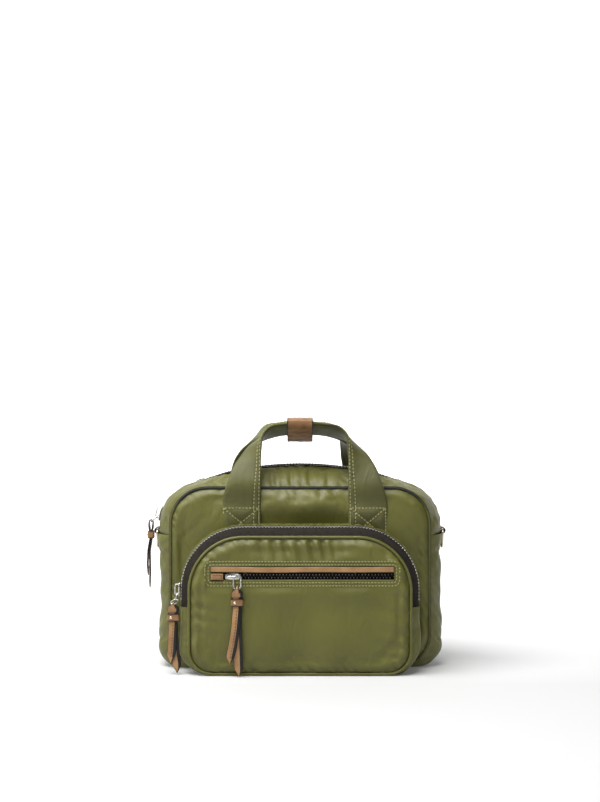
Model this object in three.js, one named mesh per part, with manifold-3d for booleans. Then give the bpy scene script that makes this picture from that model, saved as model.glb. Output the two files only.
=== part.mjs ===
// A small padded top-handle bag with a front pocket, a welt pocket and three metal zips.
// Millimetres, +X to the right, -Y to the front, +Z up. The origin is on the floor, under the middle.
import * as THREE from 'three';
import { mergeVertices } from 'three/addons/utils/BufferGeometryUtils.js';
import Module from 'manifold-3d';

const wasm = await Module();
wasm.setup();

// Main body
const bagWidth = 250;
const bagDepth = 72;
const ridgeHeight = 176.7;
const ridgeCornerRadius = 38;
const ridgeCornerHeight = 124;
const sideBulge = 12;
const seamTop = 158;
const seamBottom = 4;
const seamTopRadius = 32;
const seamBottomRadius = 26;
const bellyBottomRadius = 20;
const baseHalf = 14;
const zipSideRun = 7;
const patchLap = 1;
const patchSink = 0.4;
const lipAngleShare = 0.85;

// Cloth and trim thicknesses
const padThickness = 3;
const gussetThickness = 2.4;
const tapeThickness = 0.8;
const liningThickness = 1;
const pipingRadius = 1.4;
const pocketPipingRadius = 1.3;
const clearance = 0.3;
const overrun = 40;
const crownShare = 0.85;

// Zip teeth, shared by all three zips
const toothPitch = 2.8;
const toothThickness = 2;
const slotHalf = 0.85;
const toothTip = 2.35;
const beadEdge = 2.95;
const zipDepth = 0.9;
const tipStartShare = 0.2;
const tipEndShare = 0.7;
const mainTapeHalf = 8;
const zipFlat = 5;
const stopLength = 3;
const stopOverlap = 0.5;
const tapeFoot = 0.9;

// Front pocket
const pocketWidth = 205;
const pocketTop = 126;
const pocketCornerRadius = 54;
const pocketBottomRadius = 24;
const pocketBottom = 0.4;
const pocketPipeBottomRadius = 20;
const pocketRidgeY = -50;
const pocketFaceY = -66;
const pocketZipEnd = 58;
const pocketSlope = 8;
const pocketLipHeight = 99;
const pocketBackTape = 6;
const backRiseShare = 0.19;
const pocketFootHeight = 0.9;
const pocketFootDepth = 1.2;
const faceRoll = 1.6;
const strapSlotGap = 1;

// Welt pocket in the pocket's face
const weltLeft = -76;
const weltRight = 80;
const weltBottom = 81.2;
const weltWindow = 7.2;
const weltLeatherHeight = 5.1;
const weltLeatherThickness = 1.4;
const weltTapeHalf = 7;
const endTabWidth = 11;
const endTabInset = 0.6;
const leatherRoll = 0.5;
const weltTapeGap = 1;
const pouchWide = 4;
const pouchRise = 3;
const pouchBottom = 30;
const pouchDepth = 10;
const pouchWall = 0.8;

// Handles and their keeper
const strapWidth = 34;
const strapThickness = 3;
const legInnerHalf = 38;
const handleCentre = 4;
const handleRoot = 143;
const patchBottom = 112;
const handleRim = 215;
const handleLow = 204;
const keeperWidth = 22.6;
const keeperAboveRim = 4;
const keeperBelowLow = 6.6;
const keeperShoulder = 5;
const keeperHalfDepth = 35.4;
const keeperWall = 1.6;

// Hardware
const ringWire = 1.1;
const ringWidth = 20;
const ringDrop = 15;
const tabWidth = 15;
const tabRadius = 3.4;
const tabHole = 1.8;
const ringAboveZipEnd = 1.6;
const ringCorner = 3;
const ringSides = 12;
const tabSink = 1.8;
const sliderLength = 13;
const sliderHalfWidth = 4.6;
const weltSliderHalfWidth = 3.2;
const sliderPlate = 1.2;
const sliderRun = 0.6;
const sliderNeck = 0.5;
const bailHeight = 3.6;
const bailReachShare = 0.375;
const bailWire = 0.6;
const linkWire = 0.6;
const linkRadius = 3.2;
const eyeRadius = 2.7;

// Leather pulls
const pullStrapWidth = 7.6;
const pullLoopWidth = 9.6;
const pullThickness = 1.2;
const pullLoopRadius = 1.1;
const bandHeight = 6.5;
const bandWall = 1.1;
const bandDrop = 8;
const rivetRadius = 1.2;
const rivetHeight = 0.7;
const pullNeckGaps = 4;
const weltSliderPlace = 18.5;
const weltLinkLength = 12;
const weltFrontDrop = 63;
const weltBackDrop = 73.5;
const pocketFrontDrop = 50;
const pocketBackDrop = 58.5;
const pocketHangForward = 7;
const pocketHangBelow = 9;
const pocketEyeTurnX = 1.4;
const pocketEyeTurnY = 1;
const mainSliderPastBend = 9.3;
const mainHangBelow = 5.5;
const mainFrontDrop = 48;
const mainBackDrop = 59;

// Inside
const liningInset = 5.2;
const liningTop = 150;

// Places that follow from the sizes above
const halfWidth = bagWidth / 2;
const zipEndHeight = ridgeCornerHeight - zipSideRun;
const panelFace = bagDepth / 2;
const seamY = panelFace - pipingRadius;
const edgeY = seamY - pipingRadius - clearance;
const seamHalf = halfWidth - sideBulge;
const pipingInset = pipingRadius + clearance;
const pocketHalf = pocketWidth / 2;
const pocketJoinY = -panelFace - clearance - gussetThickness / 2;
const pocketPipingY = pocketFaceY + padThickness;
const pocketPipingHalf = pocketHalf - pocketSlope;
const quarter = Math.PI / 2;
const ringHeight = zipEndHeight + ringAboveZipEnd;
const keeperTop = handleRim + keeperAboveRim;
const keeperBottom = handleLow - keeperBelowLow;

// Colours and finishes
const finish = (color, roughness, metalness = 0) =>
  new THREE.MeshStandardMaterial({ color, roughness, metalness });
const nylon = finish(0x7b7a48, 0.55);
const nylonDark = finish(0x4f4e28, 0.6);
const blackCloth = finish(0x1d1b17, 0.7);
const liningCloth = finish(0x3a3626, 0.8);
const leather = finish(0x7c6040, 0.5);
const steel = finish(0xc9c6bd, 0.3, 1);
const board = finish(0x2c2a26, 0.8);

const bag = new THREE.Group();

function add(name, geometry, material, parent = bag) {
  const mesh = new THREE.Mesh(geometry, material);
  mesh.name = name;
  parent.add(mesh);
  return mesh;
}

// Solids and booleans

function closedGeometry(points, faces) {
  const positions = new Float32Array(points.flatMap((p) => [p.x, p.y, p.z]));
  let volume = 0;
  for (const [a, b, c] of faces) {
    volume += points[a].dot(new THREE.Vector3().crossVectors(points[b], points[c]));
  }
  const turned = volume < 0 ? faces.map(([a, b, c]) => [a, c, b]) : faces;
  const geometry = new THREE.BufferGeometry();
  geometry.setAttribute('position', new THREE.BufferAttribute(positions, 3));
  geometry.setIndex(turned.flat());
  return geometry;
}

function toSolid(geometry) {
  const bare = geometry.clone();
  bare.deleteAttribute('normal');
  bare.deleteAttribute('uv');
  const merged = mergeVertices(bare, 1e-4);
  return new wasm.Manifold(new wasm.Mesh({
    numProp: 3,
    vertProperties: new Float32Array(merged.attributes.position.array),
    triVerts: new Uint32Array(merged.index.array),
  }));
}

function toGeometry(solid) {
  const mesh = solid.getMesh();
  const geometry = new THREE.BufferGeometry();
  geometry.setAttribute('position', new THREE.BufferAttribute(new Float32Array(mesh.vertProperties), 3));
  geometry.setIndex(Array.from(mesh.triVerts));
  return geometry;
}

function join(...geometries) {
  return toGeometry(geometries.map(toSolid).reduce((whole, piece) => whole.add(piece)));
}

function cut(geometry, ...tools) {
  return toGeometry(tools.map(toSolid).reduce((whole, tool) => whole.subtract(tool), toSolid(geometry)));
}

function keep(geometry, tool) {
  return toGeometry(toSolid(geometry).intersect(toSolid(tool)));
}

function boxBetween(low, high) {
  const size = high.map((value, axis) => value - low[axis]);
  const geometry = new THREE.BoxGeometry(...size);
  geometry.translate(...low.map((value, axis) => value + size[axis] / 2));
  return geometry;
}

// A closed sheet: an outer grid of points, and the same grid moved in by the sheet's thickness.
// centre is a point inside the bag, which tells which way is out.
function sheet(outer, thickness, centre, sink = 0) {
  const rows = outer.length;
  const columns = outer[0].length;
  const point = (i, j) => outer[Math.min(Math.max(i, 0), rows - 1)][Math.min(Math.max(j, 0), columns - 1)];
  const points = [];
  const sides = [sink, sink + thickness];
  let outward = 1;
  const normals = outer.map((row, i) => row.map((p, j) => {
    const along = point(i + 1, j).clone().sub(point(i - 1, j));
    const across = point(i, j + 1).clone().sub(point(i, j - 1));
    return along.cross(across).normalize();
  }));
  const middle = [Math.floor(rows / 2), Math.floor(columns / 2)];
  const away = outer[middle[0]][middle[1]].clone().sub(centre);
  if (normals[middle[0]][middle[1]].dot(away) < 0) outward = -1;
  for (const depth of sides) {
    for (let i = 0; i < rows; i += 1) {
      for (let j = 0; j < columns; j += 1) {
        points.push(outer[i][j].clone().addScaledVector(normals[i][j], -outward * depth));
      }
    }
  }
  const at = (side, i, j) => side * rows * columns + i * columns + j;
  const faces = [];
  const quad = (a, b, c, d) => faces.push([a, b, c], [a, c, d]);
  for (let i = 0; i < rows - 1; i += 1) {
    for (let j = 0; j < columns - 1; j += 1) {
      quad(at(0, i, j), at(0, i + 1, j), at(0, i + 1, j + 1), at(0, i, j + 1));
      quad(at(1, i, j), at(1, i, j + 1), at(1, i + 1, j + 1), at(1, i + 1, j));
    }
  }
  for (let i = 0; i < rows - 1; i += 1) {
    quad(at(0, i, 0), at(1, i, 0), at(1, i + 1, 0), at(0, i + 1, 0));
    quad(at(0, i, columns - 1), at(0, i + 1, columns - 1), at(1, i + 1, columns - 1), at(1, i, columns - 1));
  }
  for (let j = 0; j < columns - 1; j += 1) {
    quad(at(0, 0, j), at(0, 0, j + 1), at(1, 0, j + 1), at(1, 0, j));
    quad(at(0, rows - 1, j), at(1, rows - 1, j), at(1, rows - 1, j + 1), at(0, rows - 1, j + 1));
  }
  return closedGeometry(points, faces);
}

// A prism: a flat outline and two levels, put into space by a mapping of (a, b, level).
function prism(outline, low, high, map) {
  const flat = outline.map(([a, b]) => new THREE.Vector2(a, b));
  const caps = THREE.ShapeUtils.triangulateShape(flat, []);
  const count = outline.length;
  const points = [low, high].flatMap((level) => outline.map(([a, b]) => map(a, b, level)));
  const upright = THREE.ShapeUtils.isClockWise(flat) ? -1 : 1;
  const faces = [];
  for (const [a, b, c] of caps) {
    const way =
      (flat[b].x - flat[a].x) * (flat[c].y - flat[a].y)
        - (flat[b].y - flat[a].y) * (flat[c].x - flat[a].x);
    const [p, q] = way * upright > 0 ? [b, c] : [c, b];
    faces.push([a, q, p], [a + count, p + count, q + count]);
  }
  for (let i = 0; i < count; i += 1) {
    const next = (i + 1) % count;
    faces.push([i, next, next + count], [i, next + count, i + count]);
  }
  return closedGeometry(points, faces);
}

// A wire bent into a flat closed loop. normal is square to the loop's plane.
function wireLoop(path, normal, radius, sides = 6) {
  const count = path.length;
  const points = [];
  const faces = [];
  path.forEach((p, i) => {
    const along = path[(i + 1) % count].clone().sub(path[(i + count - 1) % count]).normalize();
    const side = new THREE.Vector3().crossVectors(normal, along).normalize();
    for (let k = 0; k < sides; k += 1) {
      const angle = (2 * Math.PI * k) / sides;
      points.push(p.clone().addScaledVector(side, radius * Math.cos(angle))
        .addScaledVector(normal, radius * Math.sin(angle)));
    }
  });
  for (let i = 0; i < count; i += 1) {
    for (let k = 0; k < sides; k += 1) {
      const [a, b] = [i * sides + k, i * sides + ((k + 1) % sides)];
      const [c, d] = [((i + 1) % count) * sides + k, ((i + 1) % count) * sides + ((k + 1) % sides)];
      faces.push([a, b, d], [a, d, c]);
    }
  }
  return closedGeometry(points, faces);
}

// A round cord along a line of points, with flat ends, or closed on itself.
function cord(path, radius, sides = 6) {
  return wireLoop(path, new THREE.Vector3(0, 1, 0), radius, sides);
}

// Tracks: flat lines in the XZ plane, made of straight runs and clockwise turns. The outside is on the left.
function track(x, z, heading, parts) {
  let place = new THREE.Vector2(x, z);
  let angle = heading;
  let length = 0;
  const pieces = parts.map((part) => {
    const piece = { ...part, place: place.clone(), angle, from: length };
    const out = new THREE.Vector2(-Math.sin(angle), Math.cos(angle));
    if (part.run === undefined) {
      piece.centre = place.clone().addScaledVector(out, -part.radius);
      piece.length = part.radius * part.turn;
      angle -= part.turn;
      place = piece.centre.clone()
        .add(new THREE.Vector2(-Math.sin(angle), Math.cos(angle)).multiplyScalar(part.radius));
    } else {
      piece.length = part.run;
      place = place.clone().add(new THREE.Vector2(Math.cos(angle), Math.sin(angle)).multiplyScalar(part.run));
    }
    length += piece.length;
    return piece;
  });
  const onPiece = (index, share) => {
    const piece = pieces[index];
    const angleHere = piece.angle - (piece.turn ?? 0) * share;
    const out = new THREE.Vector2(-Math.sin(angleHere), Math.cos(angleHere));
    const p = piece.run === undefined
      ? piece.centre.clone().addScaledVector(out, piece.radius)
      : piece.place.clone().add(new THREE.Vector2(Math.cos(piece.angle), Math.sin(piece.angle))
        .multiplyScalar(piece.run * share));
    return { x: p.x, z: p.y, outX: out.x, outZ: out.y };
  };
  const at = (s) => {
    let index = pieces.findIndex((piece) => s <= piece.from + piece.length);
    if (index < 0) index = pieces.length - 1;
    return onPiece(index, (s - pieces[index].from) / pieces[index].length);
  };
  const stations = (divisions) => pieces.flatMap((piece, index) => Array.from(
    { length: divisions[index] + (index === pieces.length - 1 ? 1 : 0) },
    (_, k) => [index, k / divisions[index]],
  ));
  const outline = (offset, divisions, closed = false) => {
    const list = stations(divisions).map(([index, share]) => {
      const p = onPiece(index, share);
      return [p.x + p.outX * offset, p.z + p.outZ * offset];
    });
    return closed ? list.slice(0, -1) : list;
  };
  return { at, onPiece, length, stations, outline, pieces };
}

// The closed outline of a panel, clockwise from the middle of its lower edge.
function panelTrack(half, bottom, top, bottomRadius, topRadius) {
  const side = { run: top - bottom - bottomRadius - topRadius };
  const foot = { run: half - bottomRadius };
  return track(0, bottom, Math.PI, [
    foot, { radius: bottomRadius, turn: quarter }, side, { radius: topRadius, turn: quarter },
    { run: 2 * (half - topRadius) }, { radius: topRadius, turn: quarter }, side,
    { radius: bottomRadius, turn: quarter }, foot,
  ]);
}
const panelDivisions = [1, 4, 1, 6, 1, 6, 1, 4, 1];

// Main body tracks: the panel's seam, the zip's ridge and the belly of the lower gusset
const cornerX = halfWidth - ridgeCornerRadius;
const ridgeDrop = ridgeCornerHeight - ridgeHeight;
const crownRadius =
  (cornerX ** 2 + ridgeDrop ** 2 - ridgeCornerRadius ** 2) / (-2 * (ridgeDrop + ridgeCornerRadius));
const crownHalfAngle = Math.asin(cornerX / (crownRadius - ridgeCornerRadius));
const seamStraight = seamHalf - seamTopRadius;
const lipHalf = seamStraight - clearance;
const crownLipAngle = Math.asin(seamStraight / crownRadius);
const seamSideRun = seamTop - seamTopRadius - zipEndHeight;
const cornerTurn = quarter - crownHalfAngle;
const seamCornerShare = lipAngleShare;
const seamTrack = panelTrack(seamHalf, seamBottom, seamTop, seamBottomRadius, seamTopRadius);
const ridge = track(-halfWidth, zipEndHeight, quarter, [
  { run: zipSideRun }, { radius: ridgeCornerRadius, turn: cornerTurn },
  { radius: crownRadius, turn: crownHalfAngle - crownLipAngle },
  { radius: crownRadius, turn: 2 * crownLipAngle },
  { radius: crownRadius, turn: crownHalfAngle - crownLipAngle },
  { radius: ridgeCornerRadius, turn: cornerTurn }, { run: zipSideRun },
]);
const seamArch = track(-seamHalf, zipEndHeight, quarter, [
  { run: seamSideRun }, { radius: seamTopRadius, turn: quarter * seamCornerShare },
  { radius: seamTopRadius, turn: quarter * (1 - seamCornerShare) }, { run: 2 * seamStraight },
  { radius: seamTopRadius, turn: quarter * (1 - seamCornerShare) },
  { radius: seamTopRadius, turn: quarter * seamCornerShare }, { run: seamSideRun },
]);
const archDivisions = [1, 6, 2, 10, 2, 6, 1];
const lowerEnd = zipEndHeight - clearance;
const underTrack = (half, bottom, radius, end) => {
  const side = { run: end - bottom - radius };
  return track(half, end, -quarter, [
    side, { radius, turn: quarter }, { run: 2 * (half - radius) }, { radius, turn: quarter }, side,
  ]);
};
const underDivisions = [2, 5, 2, 5, 2];
const bellyUnder = underTrack(halfWidth, 0, bellyBottomRadius, lowerEnd);
const seamUnder = underTrack(seamHalf, seamBottom, seamBottomRadius, lowerEnd);

// A band of cloth between two matched tracks. profile is a list of [y, share] from the first to the second.
function band(first, second, divisions, profile, thickness, centre, sink = 0) {
  const grid = first.stations(divisions).map(([index, share]) => {
    const [a, b] = [first.onPiece(index, share), second.onPiece(index, share)];
    return profile.map(([y, blend]) =>
      new THREE.Vector3(a.x + (b.x - a.x) * blend, y, a.z + (b.z - a.z) * blend));
  });
  return sheet(grid, thickness, centre, sink);
}

// Across a band the cloth crowns up from its seam, and lies flat beside the teeth.
const bulge = (t) => (t < 1 ? t + crownShare * t * (1 - t) : 1);
const evenly = (from, to, steps) =>
  Array.from({ length: steps + 1 }, (_, k) => from + ((to - from) * k) / steps);
const mainShare = (y) => bulge((edgeY - Math.abs(y)) / (edgeY - zipFlat));
const bagCentre = new THREE.Vector3(0, 0, seamTop / 2);

// Panels and piping

function plate(outline, nearY, farY) {
  return prism(outline, nearY, farY, (x, z, y) => new THREE.Vector3(x, y, z));
}

// A plate whose front edge is rounded over: an extrusion of the outline with a bevel.
function softPlate(outline, frontY, thickness, roll) {
  const shape = new THREE.Shape(outline.map(([x, z]) => new THREE.Vector2(x, z)));
  const geometry = new THREE.ExtrudeGeometry(shape, {
    depth: thickness - roll, steps: 1, bevelEnabled: true, bevelThickness: roll, bevelSize: roll,
    bevelOffset: -roll, bevelSegments: 2,
  });
  geometry.rotateX(quarter);
  geometry.translate(0, frontY + thickness, 0);
  return keep(geometry, boxBetween(
    [-bagWidth, frontY - overrun, -overrun],
    [bagWidth, frontY + thickness, ridgeHeight + overrun],
  ));
}

const panelOutline = seamTrack.outline(-pipingInset, panelDivisions, true);
add('front_panel', plate(panelOutline, -panelFace, -panelFace + padThickness), nylon);
add('back_panel', plate(panelOutline, panelFace - padThickness, panelFace), nylon);

const seamCord = seamTrack.outline(0, [2, 5, 3, 6, 6, 6, 3, 5, 2], true);
for (const [name, y] of [['front_piping', -seamY], ['back_piping', seamY]]) {
  add(name, cord(seamCord.map(([x, z]) => new THREE.Vector3(x, y, z)), pipingRadius), blackCloth);
}

// Lower gusset: sides and bottom in one strip
const lowerShare = (y) => 1 - Math.max(0, (Math.abs(y) - baseHalf) / (edgeY - baseHalf)) ** 2;
const lowerDepths = [...evenly(-edgeY, -baseHalf, 3), ...evenly(baseHalf, edgeY, 3)];
const lowerProfile = lowerDepths.map((y) => [y, lowerShare(y)]);
add('lower_gusset', band(seamUnder, bellyUnder, underDivisions,
  lowerProfile, gussetThickness, bagCentre), nylon);

// Top gusset and the main zip's tapes, cut into two fixed ends and two lips that fold open
const lipBox = (half) =>
  boxBetween([-half, -bagDepth, seamTop - overrun], [half, bagDepth, ridgeHeight + overrun]);
const endBox = (side, half) => boxBetween(
  side < 0 ? [-bagWidth, -bagDepth, 0] : [half, -bagDepth, 0],
  side < 0 ? [-half, bagDepth, ridgeHeight + overrun] : [bagWidth, bagDepth, ridgeHeight + overrun],
);
const archBand = (depths, thickness, sink) => band(
  seamArch, ridge, archDivisions, depths.map((y) => [y, mainShare(y)]), thickness, bagCentre, sink,
);
const fabricEdge = mainTapeHalf + clearance;
const tapeInner = beadEdge + 2 * clearance;

const frontLip = new THREE.Group();
const backLip = new THREE.Group();
bag.add(frontLip, backLip);

const frontGusset = archBand(evenly(-edgeY, -fabricEdge, 4), gussetThickness, 0);
const backGusset = archBand(evenly(edgeY, fabricEdge, 4), gussetThickness, 0);
add('front_lip', keep(frontGusset, lipBox(lipHalf)), nylon, frontLip);
add('back_lip', keep(backGusset, lipBox(lipHalf)), nylon, backLip);

// The piece of cloth that closes the gusset and the tapes across the end of the zip
function endPatch(side, halfY, low, high, outer, inner) {
  const [a, b] = [side * (halfWidth - outer), side * (halfWidth - inner)];
  return boxBetween([Math.min(a, b), -halfY, low], [Math.max(a, b), halfY, high]);
}
const footHeight = zipEndHeight + stopLength;
for (const [name, side] of [['left', -1], ['right', 1]]) {
  const ends = endBox(side, lipHalf + clearance);
  const patch = endPatch(
    side, fabricEdge + patchLap, zipEndHeight, footHeight, patchSink, patchSink + gussetThickness - patchLap,
  );
  add(`top_gusset_${name}`, join(keep(frontGusset, ends), keep(backGusset, ends), patch), nylon);
}

// Teeth: a comb with a bead behind it. at(s, w, h) maps the run, the side and the height of a zip.
// The faces are laid tooth by tooth, so the comb follows a bend.
const combCount = (length, from) => 2 * Math.floor((length - 2 * from) / toothPitch / 2);
const combStart = (length, from) => (length - combCount(length, from) * toothPitch) / 2;

function comb(at, length, side, from) {
  const count = combCount(length, from);
  const start = combStart(length, from);
  const perTooth = 3;
  const plan = [];
  for (let k = 0; k < count; k += 1) {
    const s = start + k * toothPitch;
    plan.push([s, toothTip], [s + toothPitch * tipStartShare, slotHalf],
      [s + toothPitch * tipEndShare, slotHalf]);
  }
  plan.push([start + count * toothPitch, toothTip]);
  const roots = plan.length;
  for (let k = 0; k <= count; k += 2) plan.push([start + k * toothPitch, beadEdge]);
  const total = plan.length;
  const points = [-1, 1].flatMap((level) =>
    plan.map(([s, w]) => at(s, side * w, (level * toothThickness) / 2)));
  const faces = [];
  const cap = (a, b, c) => faces.push([a, b, c], [a + total, c + total, b + total]);
  const wall = (a, b) => faces.push([a, a + total, b + total], [a, b + total, b]);
  const root = (k) => k * perTooth;
  const bead = (k) => roots + k / 2;
  for (let k = 0; k < count; k += 1) {
    cap(root(k), root(k) + 1, root(k) + 2);
    cap(root(k), root(k) + 2, root(k + 1));
    for (let step = 0; step < perTooth; step += 1) wall(root(k) + step, root(k) + step + 1);
  }
  for (let k = 0; k < count; k += 2) {
    cap(root(k), root(k + 1), bead(k));
    cap(root(k + 1), root(k + 2), bead(k + 2));
    cap(root(k + 1), bead(k + 2), bead(k));
    wall(bead(k + 2), bead(k));
  }
  wall(bead(0), root(0));
  wall(root(count), bead(count));
  return closedGeometry(points, faces);
}

const mainAt = (s, w, h) => {
  const p = ridge.at(s);
  return new THREE.Vector3(p.x + p.outX * (h - zipDepth), w, p.z + p.outZ * (h - zipDepth));
};
const tapeFootLow = footHeight + clearance;
const tapeFootHigh = tapeFootLow + tapeFoot;
const toothStart = tapeFootHigh + clearance + stopLength - zipEndHeight;
const tapeOuter = zipDepth - tapeThickness / 2;
const frontTape = archBand([-mainTapeHalf, -zipFlat, -tapeInner], tapeThickness, tapeOuter);
const backTape = archBand([mainTapeHalf, zipFlat, tapeInner], tapeThickness, tapeOuter);
const frontTeeth = comb(mainAt, ridge.length, -1, toothStart);
const backTeeth = comb(mainAt, ridge.length, 1, toothStart);
add('main_tape_front', keep(frontTape, lipBox(lipHalf)), blackCloth, frontLip);
add('main_tape_back', keep(backTape, lipBox(lipHalf)), blackCloth, backLip);
add('main_teeth_front', keep(frontTeeth, lipBox(lipHalf)), steel, frontLip);
add('main_teeth_back', keep(backTeeth, lipBox(lipHalf)), steel, backLip);

const mainCombEnd = zipEndHeight + combStart(ridge.length, toothStart);
for (const [name, side] of [['left', -1], ['right', 1]]) {
  const ends = endBox(side, lipHalf + clearance);
  const foot =
    endPatch(side, tapeInner + patchLap, tapeFootLow, tapeFootHigh, tapeOuter, tapeOuter + tapeThickness);
  const clear = endPatch(side, fabricEdge + 2 * patchLap, 0, tapeFootLow, -2 * patchLap, overrun);
  add(`main_tape_${name}`, cut(join(keep(frontTape, ends), keep(backTape, ends), foot), clear), blackCloth);
  const stop = endPatch(
    side, beadEdge, mainCombEnd - stopLength, mainCombEnd + stopOverlap,
    zipDepth - toothThickness / 2, zipDepth + toothThickness / 2,
  );
  add(`main_teeth_${name}`, join(keep(frontTeeth, ends), keep(backTeeth, ends), stop), steel);
}

// Front pocket tracks: the ridge where the teeth lie, and the piping round the face
const pocketStraight = pocketHalf - pocketCornerRadius;
const pocketCornerHeight = pocketTop - pocketCornerRadius;
const pocketArch = (half, radius, end) => track(-half, end, quarter, [
  { run: pocketCornerHeight - end }, { radius, turn: quarter }, { run: 2 * pocketStraight },
  { radius, turn: quarter }, { run: pocketCornerHeight - end },
]);
const pocketRidge = pocketArch(pocketHalf, pocketCornerRadius, pocketZipEnd);
const pocketPipe = pocketArch(pocketPipingHalf, pocketCornerRadius - pocketSlope, pocketZipEnd);
const pocketDivisions = [1, 9, 2, 9, 1];
const pocketUnderEnd = pocketZipEnd - clearance;
const facePipeBottom = pocketPipingRadius + clearance;
const pocketRidgeUnder = underTrack(pocketHalf, pocketBottom, pocketBottomRadius, pocketUnderEnd);
const pocketPipeUnder = underTrack(pocketPipingHalf, facePipeBottom, pocketPipeBottomRadius, pocketUnderEnd);
const pocketCentre = new THREE.Vector3(0, pocketRidgeY, pocketTop / 2);
const pocketEdgeY = pocketPipingY + pocketPipingRadius + clearance;
// Before the ridge the cloth crowns up from the piping; behind it the strip rises slowly to the panel.
const pocketShare = (y) => (y > pocketRidgeY + zipFlat
  ? 1 + ((y - pocketRidgeY - zipFlat) / (pocketJoinY - pocketRidgeY - zipFlat)) * backRiseShare
  : bulge((y - pocketEdgeY) / (pocketRidgeY - zipFlat - pocketEdgeY)));
const pocketProfile = (depths) => depths.map((y) => [y, pocketShare(y)]);
const pocketPipeTrack = panelTrack(
  pocketPipingHalf, facePipeBottom, pocketTop - pocketSlope, pocketPipeBottomRadius,
  pocketCornerRadius - pocketSlope,
);
const pocketFaceDivisions = [1, 4, 1, 8, 1, 8, 1, 4, 1];
const faceInset = pocketPipingRadius + clearance;
const pocketLipHalf = pocketStraight - 2 * clearance;

const pocketLip = new THREE.Group();
bag.add(pocketLip);
const aboveLip = (half, gap) => boxBetween(
  [-half, pocketFaceY - overrun, pocketLipHeight - gap],
  [half, pocketRidgeY - slotHalf / 2, pocketTop + overrun],
);
const lipTool = aboveLip(pocketLipHalf, 0);
const lipGapTool = aboveLip(pocketLipHalf + clearance, clearance);

// Pocket face, with the window of the welt zip
const faceOutline = pocketPipeTrack.outline(-faceInset, pocketFaceDivisions, true);
const face = softPlate(faceOutline, pocketFaceY, padThickness, faceRoll);
const weltMiddle = weltBottom + weltWindow / 2;
const weltWindowBox = boxBetween(
  [weltLeft, pocketFaceY - overrun, weltBottom],
  [weltRight, pocketFaceY + padThickness + clearance, weltBottom + weltWindow],
);
add('pocket_face', cut(face, weltWindowBox, lipGapTool), nylon);
add('pocket_lip', keep(face, lipTool), nylon, pocketLip);

const pocketCordLine = pocketPipeTrack.outline(0, [2, 5, 3, 9, 4, 9, 3, 5, 2], true);
const pocketCord = cord(
  pocketCordLine.map(([x, z]) => new THREE.Vector3(x, pocketPipingY, z)),
  pocketPipingRadius);
add('pocket_piping', cut(pocketCord, lipGapTool), nylonDark);
add('pocket_lip_piping', keep(pocketCord, lipTool), nylonDark, pocketLip);

// Pocket gusset below the zip, strip behind the zip, tapes and teeth
const pocketBackEdge = pocketRidgeY + pocketBackTape;
const legMiddle = (side) => handleCentre + side * (legInnerHalf + strapWidth / 2);
const strapSlots = [-1, 1].map((side) => boxBetween(
  [legMiddle(side) - strapWidth / 2 - strapSlotGap, pocketJoinY - strapThickness, patchBottom],
  [legMiddle(side) + strapWidth / 2 + strapSlotGap, -panelFace, handleRoot],
));
const beforeRidge = [pocketEdgeY, pocketEdgeY + zipFlat / 2, pocketRidgeY - zipFlat];
add('pocket_gusset', band(
  pocketPipeUnder, pocketRidgeUnder, underDivisions,
  pocketProfile([...beforeRidge, pocketRidgeY + zipFlat, pocketJoinY]), gussetThickness, pocketCentre,
), nylon);
add('pocket_top_strip', cut(band(
  pocketPipe, pocketRidge, pocketDivisions, pocketProfile(evenly(pocketBackEdge + clearance, pocketJoinY, 2)),
  gussetThickness, pocketCentre,
), ...strapSlots), nylon);

const pocketAt = (s, w, h) => {
  const p = pocketRidge.at(s);
  return new THREE.Vector3(p.x + p.outX * (h - zipDepth), pocketRidgeY + w, p.z + p.outZ * (h - zipDepth));
};
const pocketTape = (depths) => band(
  pocketPipe, pocketRidge, pocketDivisions, pocketProfile(depths), tapeThickness, pocketCentre, tapeOuter,
);
const pocketFrontTape = pocketTape([...beforeRidge, pocketRidgeY - tapeInner]);
const pocketBackTapeStrip = pocketTape([pocketBackEdge, pocketRidgeY + tapeInner]);
const pocketStart = stopLength + pocketFootHeight + clearance;
const pocketCombEnd = pocketZipEnd + combStart(pocketRidge.length, pocketStart);
const pocketFrontTeeth = comb(pocketAt, pocketRidge.length, -1, pocketStart);
const pocketBackTeeth = comb(pocketAt, pocketRidge.length, 1, pocketStart);
const pocketEnd = (side, low, high, halfY, outer, inner) => {
  const [a, b] = [side * (pocketHalf - outer), side * (pocketHalf - inner)];
  return boxBetween(
    [Math.min(a, b), pocketRidgeY - halfY, low],
    [Math.max(a, b), pocketRidgeY + halfY, high]);
};
const pocketFeet = [-1, 1].map((side) => pocketEnd(
  side, pocketZipEnd, pocketZipEnd + pocketFootHeight, tapeInner + patchLap / 2, tapeOuter,
  tapeOuter + tapeThickness + pocketFootDepth,
));
const pocketStops = [-1, 1].map((side) => pocketEnd(
  side, pocketCombEnd - stopLength, pocketCombEnd + stopOverlap, beadEdge,
  zipDepth - toothThickness / 2, zipDepth + toothThickness / 2,
));
add('pocket_tape', join(cut(pocketFrontTape, lipGapTool), pocketBackTapeStrip, ...pocketFeet), blackCloth);
add('pocket_lip_tape', keep(pocketFrontTape, lipTool), blackCloth, pocketLip);
add('pocket_teeth', join(cut(pocketFrontTeeth, lipGapTool), pocketBackTeeth, ...pocketStops), steel);
add('pocket_lip_teeth', keep(pocketFrontTeeth, lipTool), steel, pocketLip);

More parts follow.
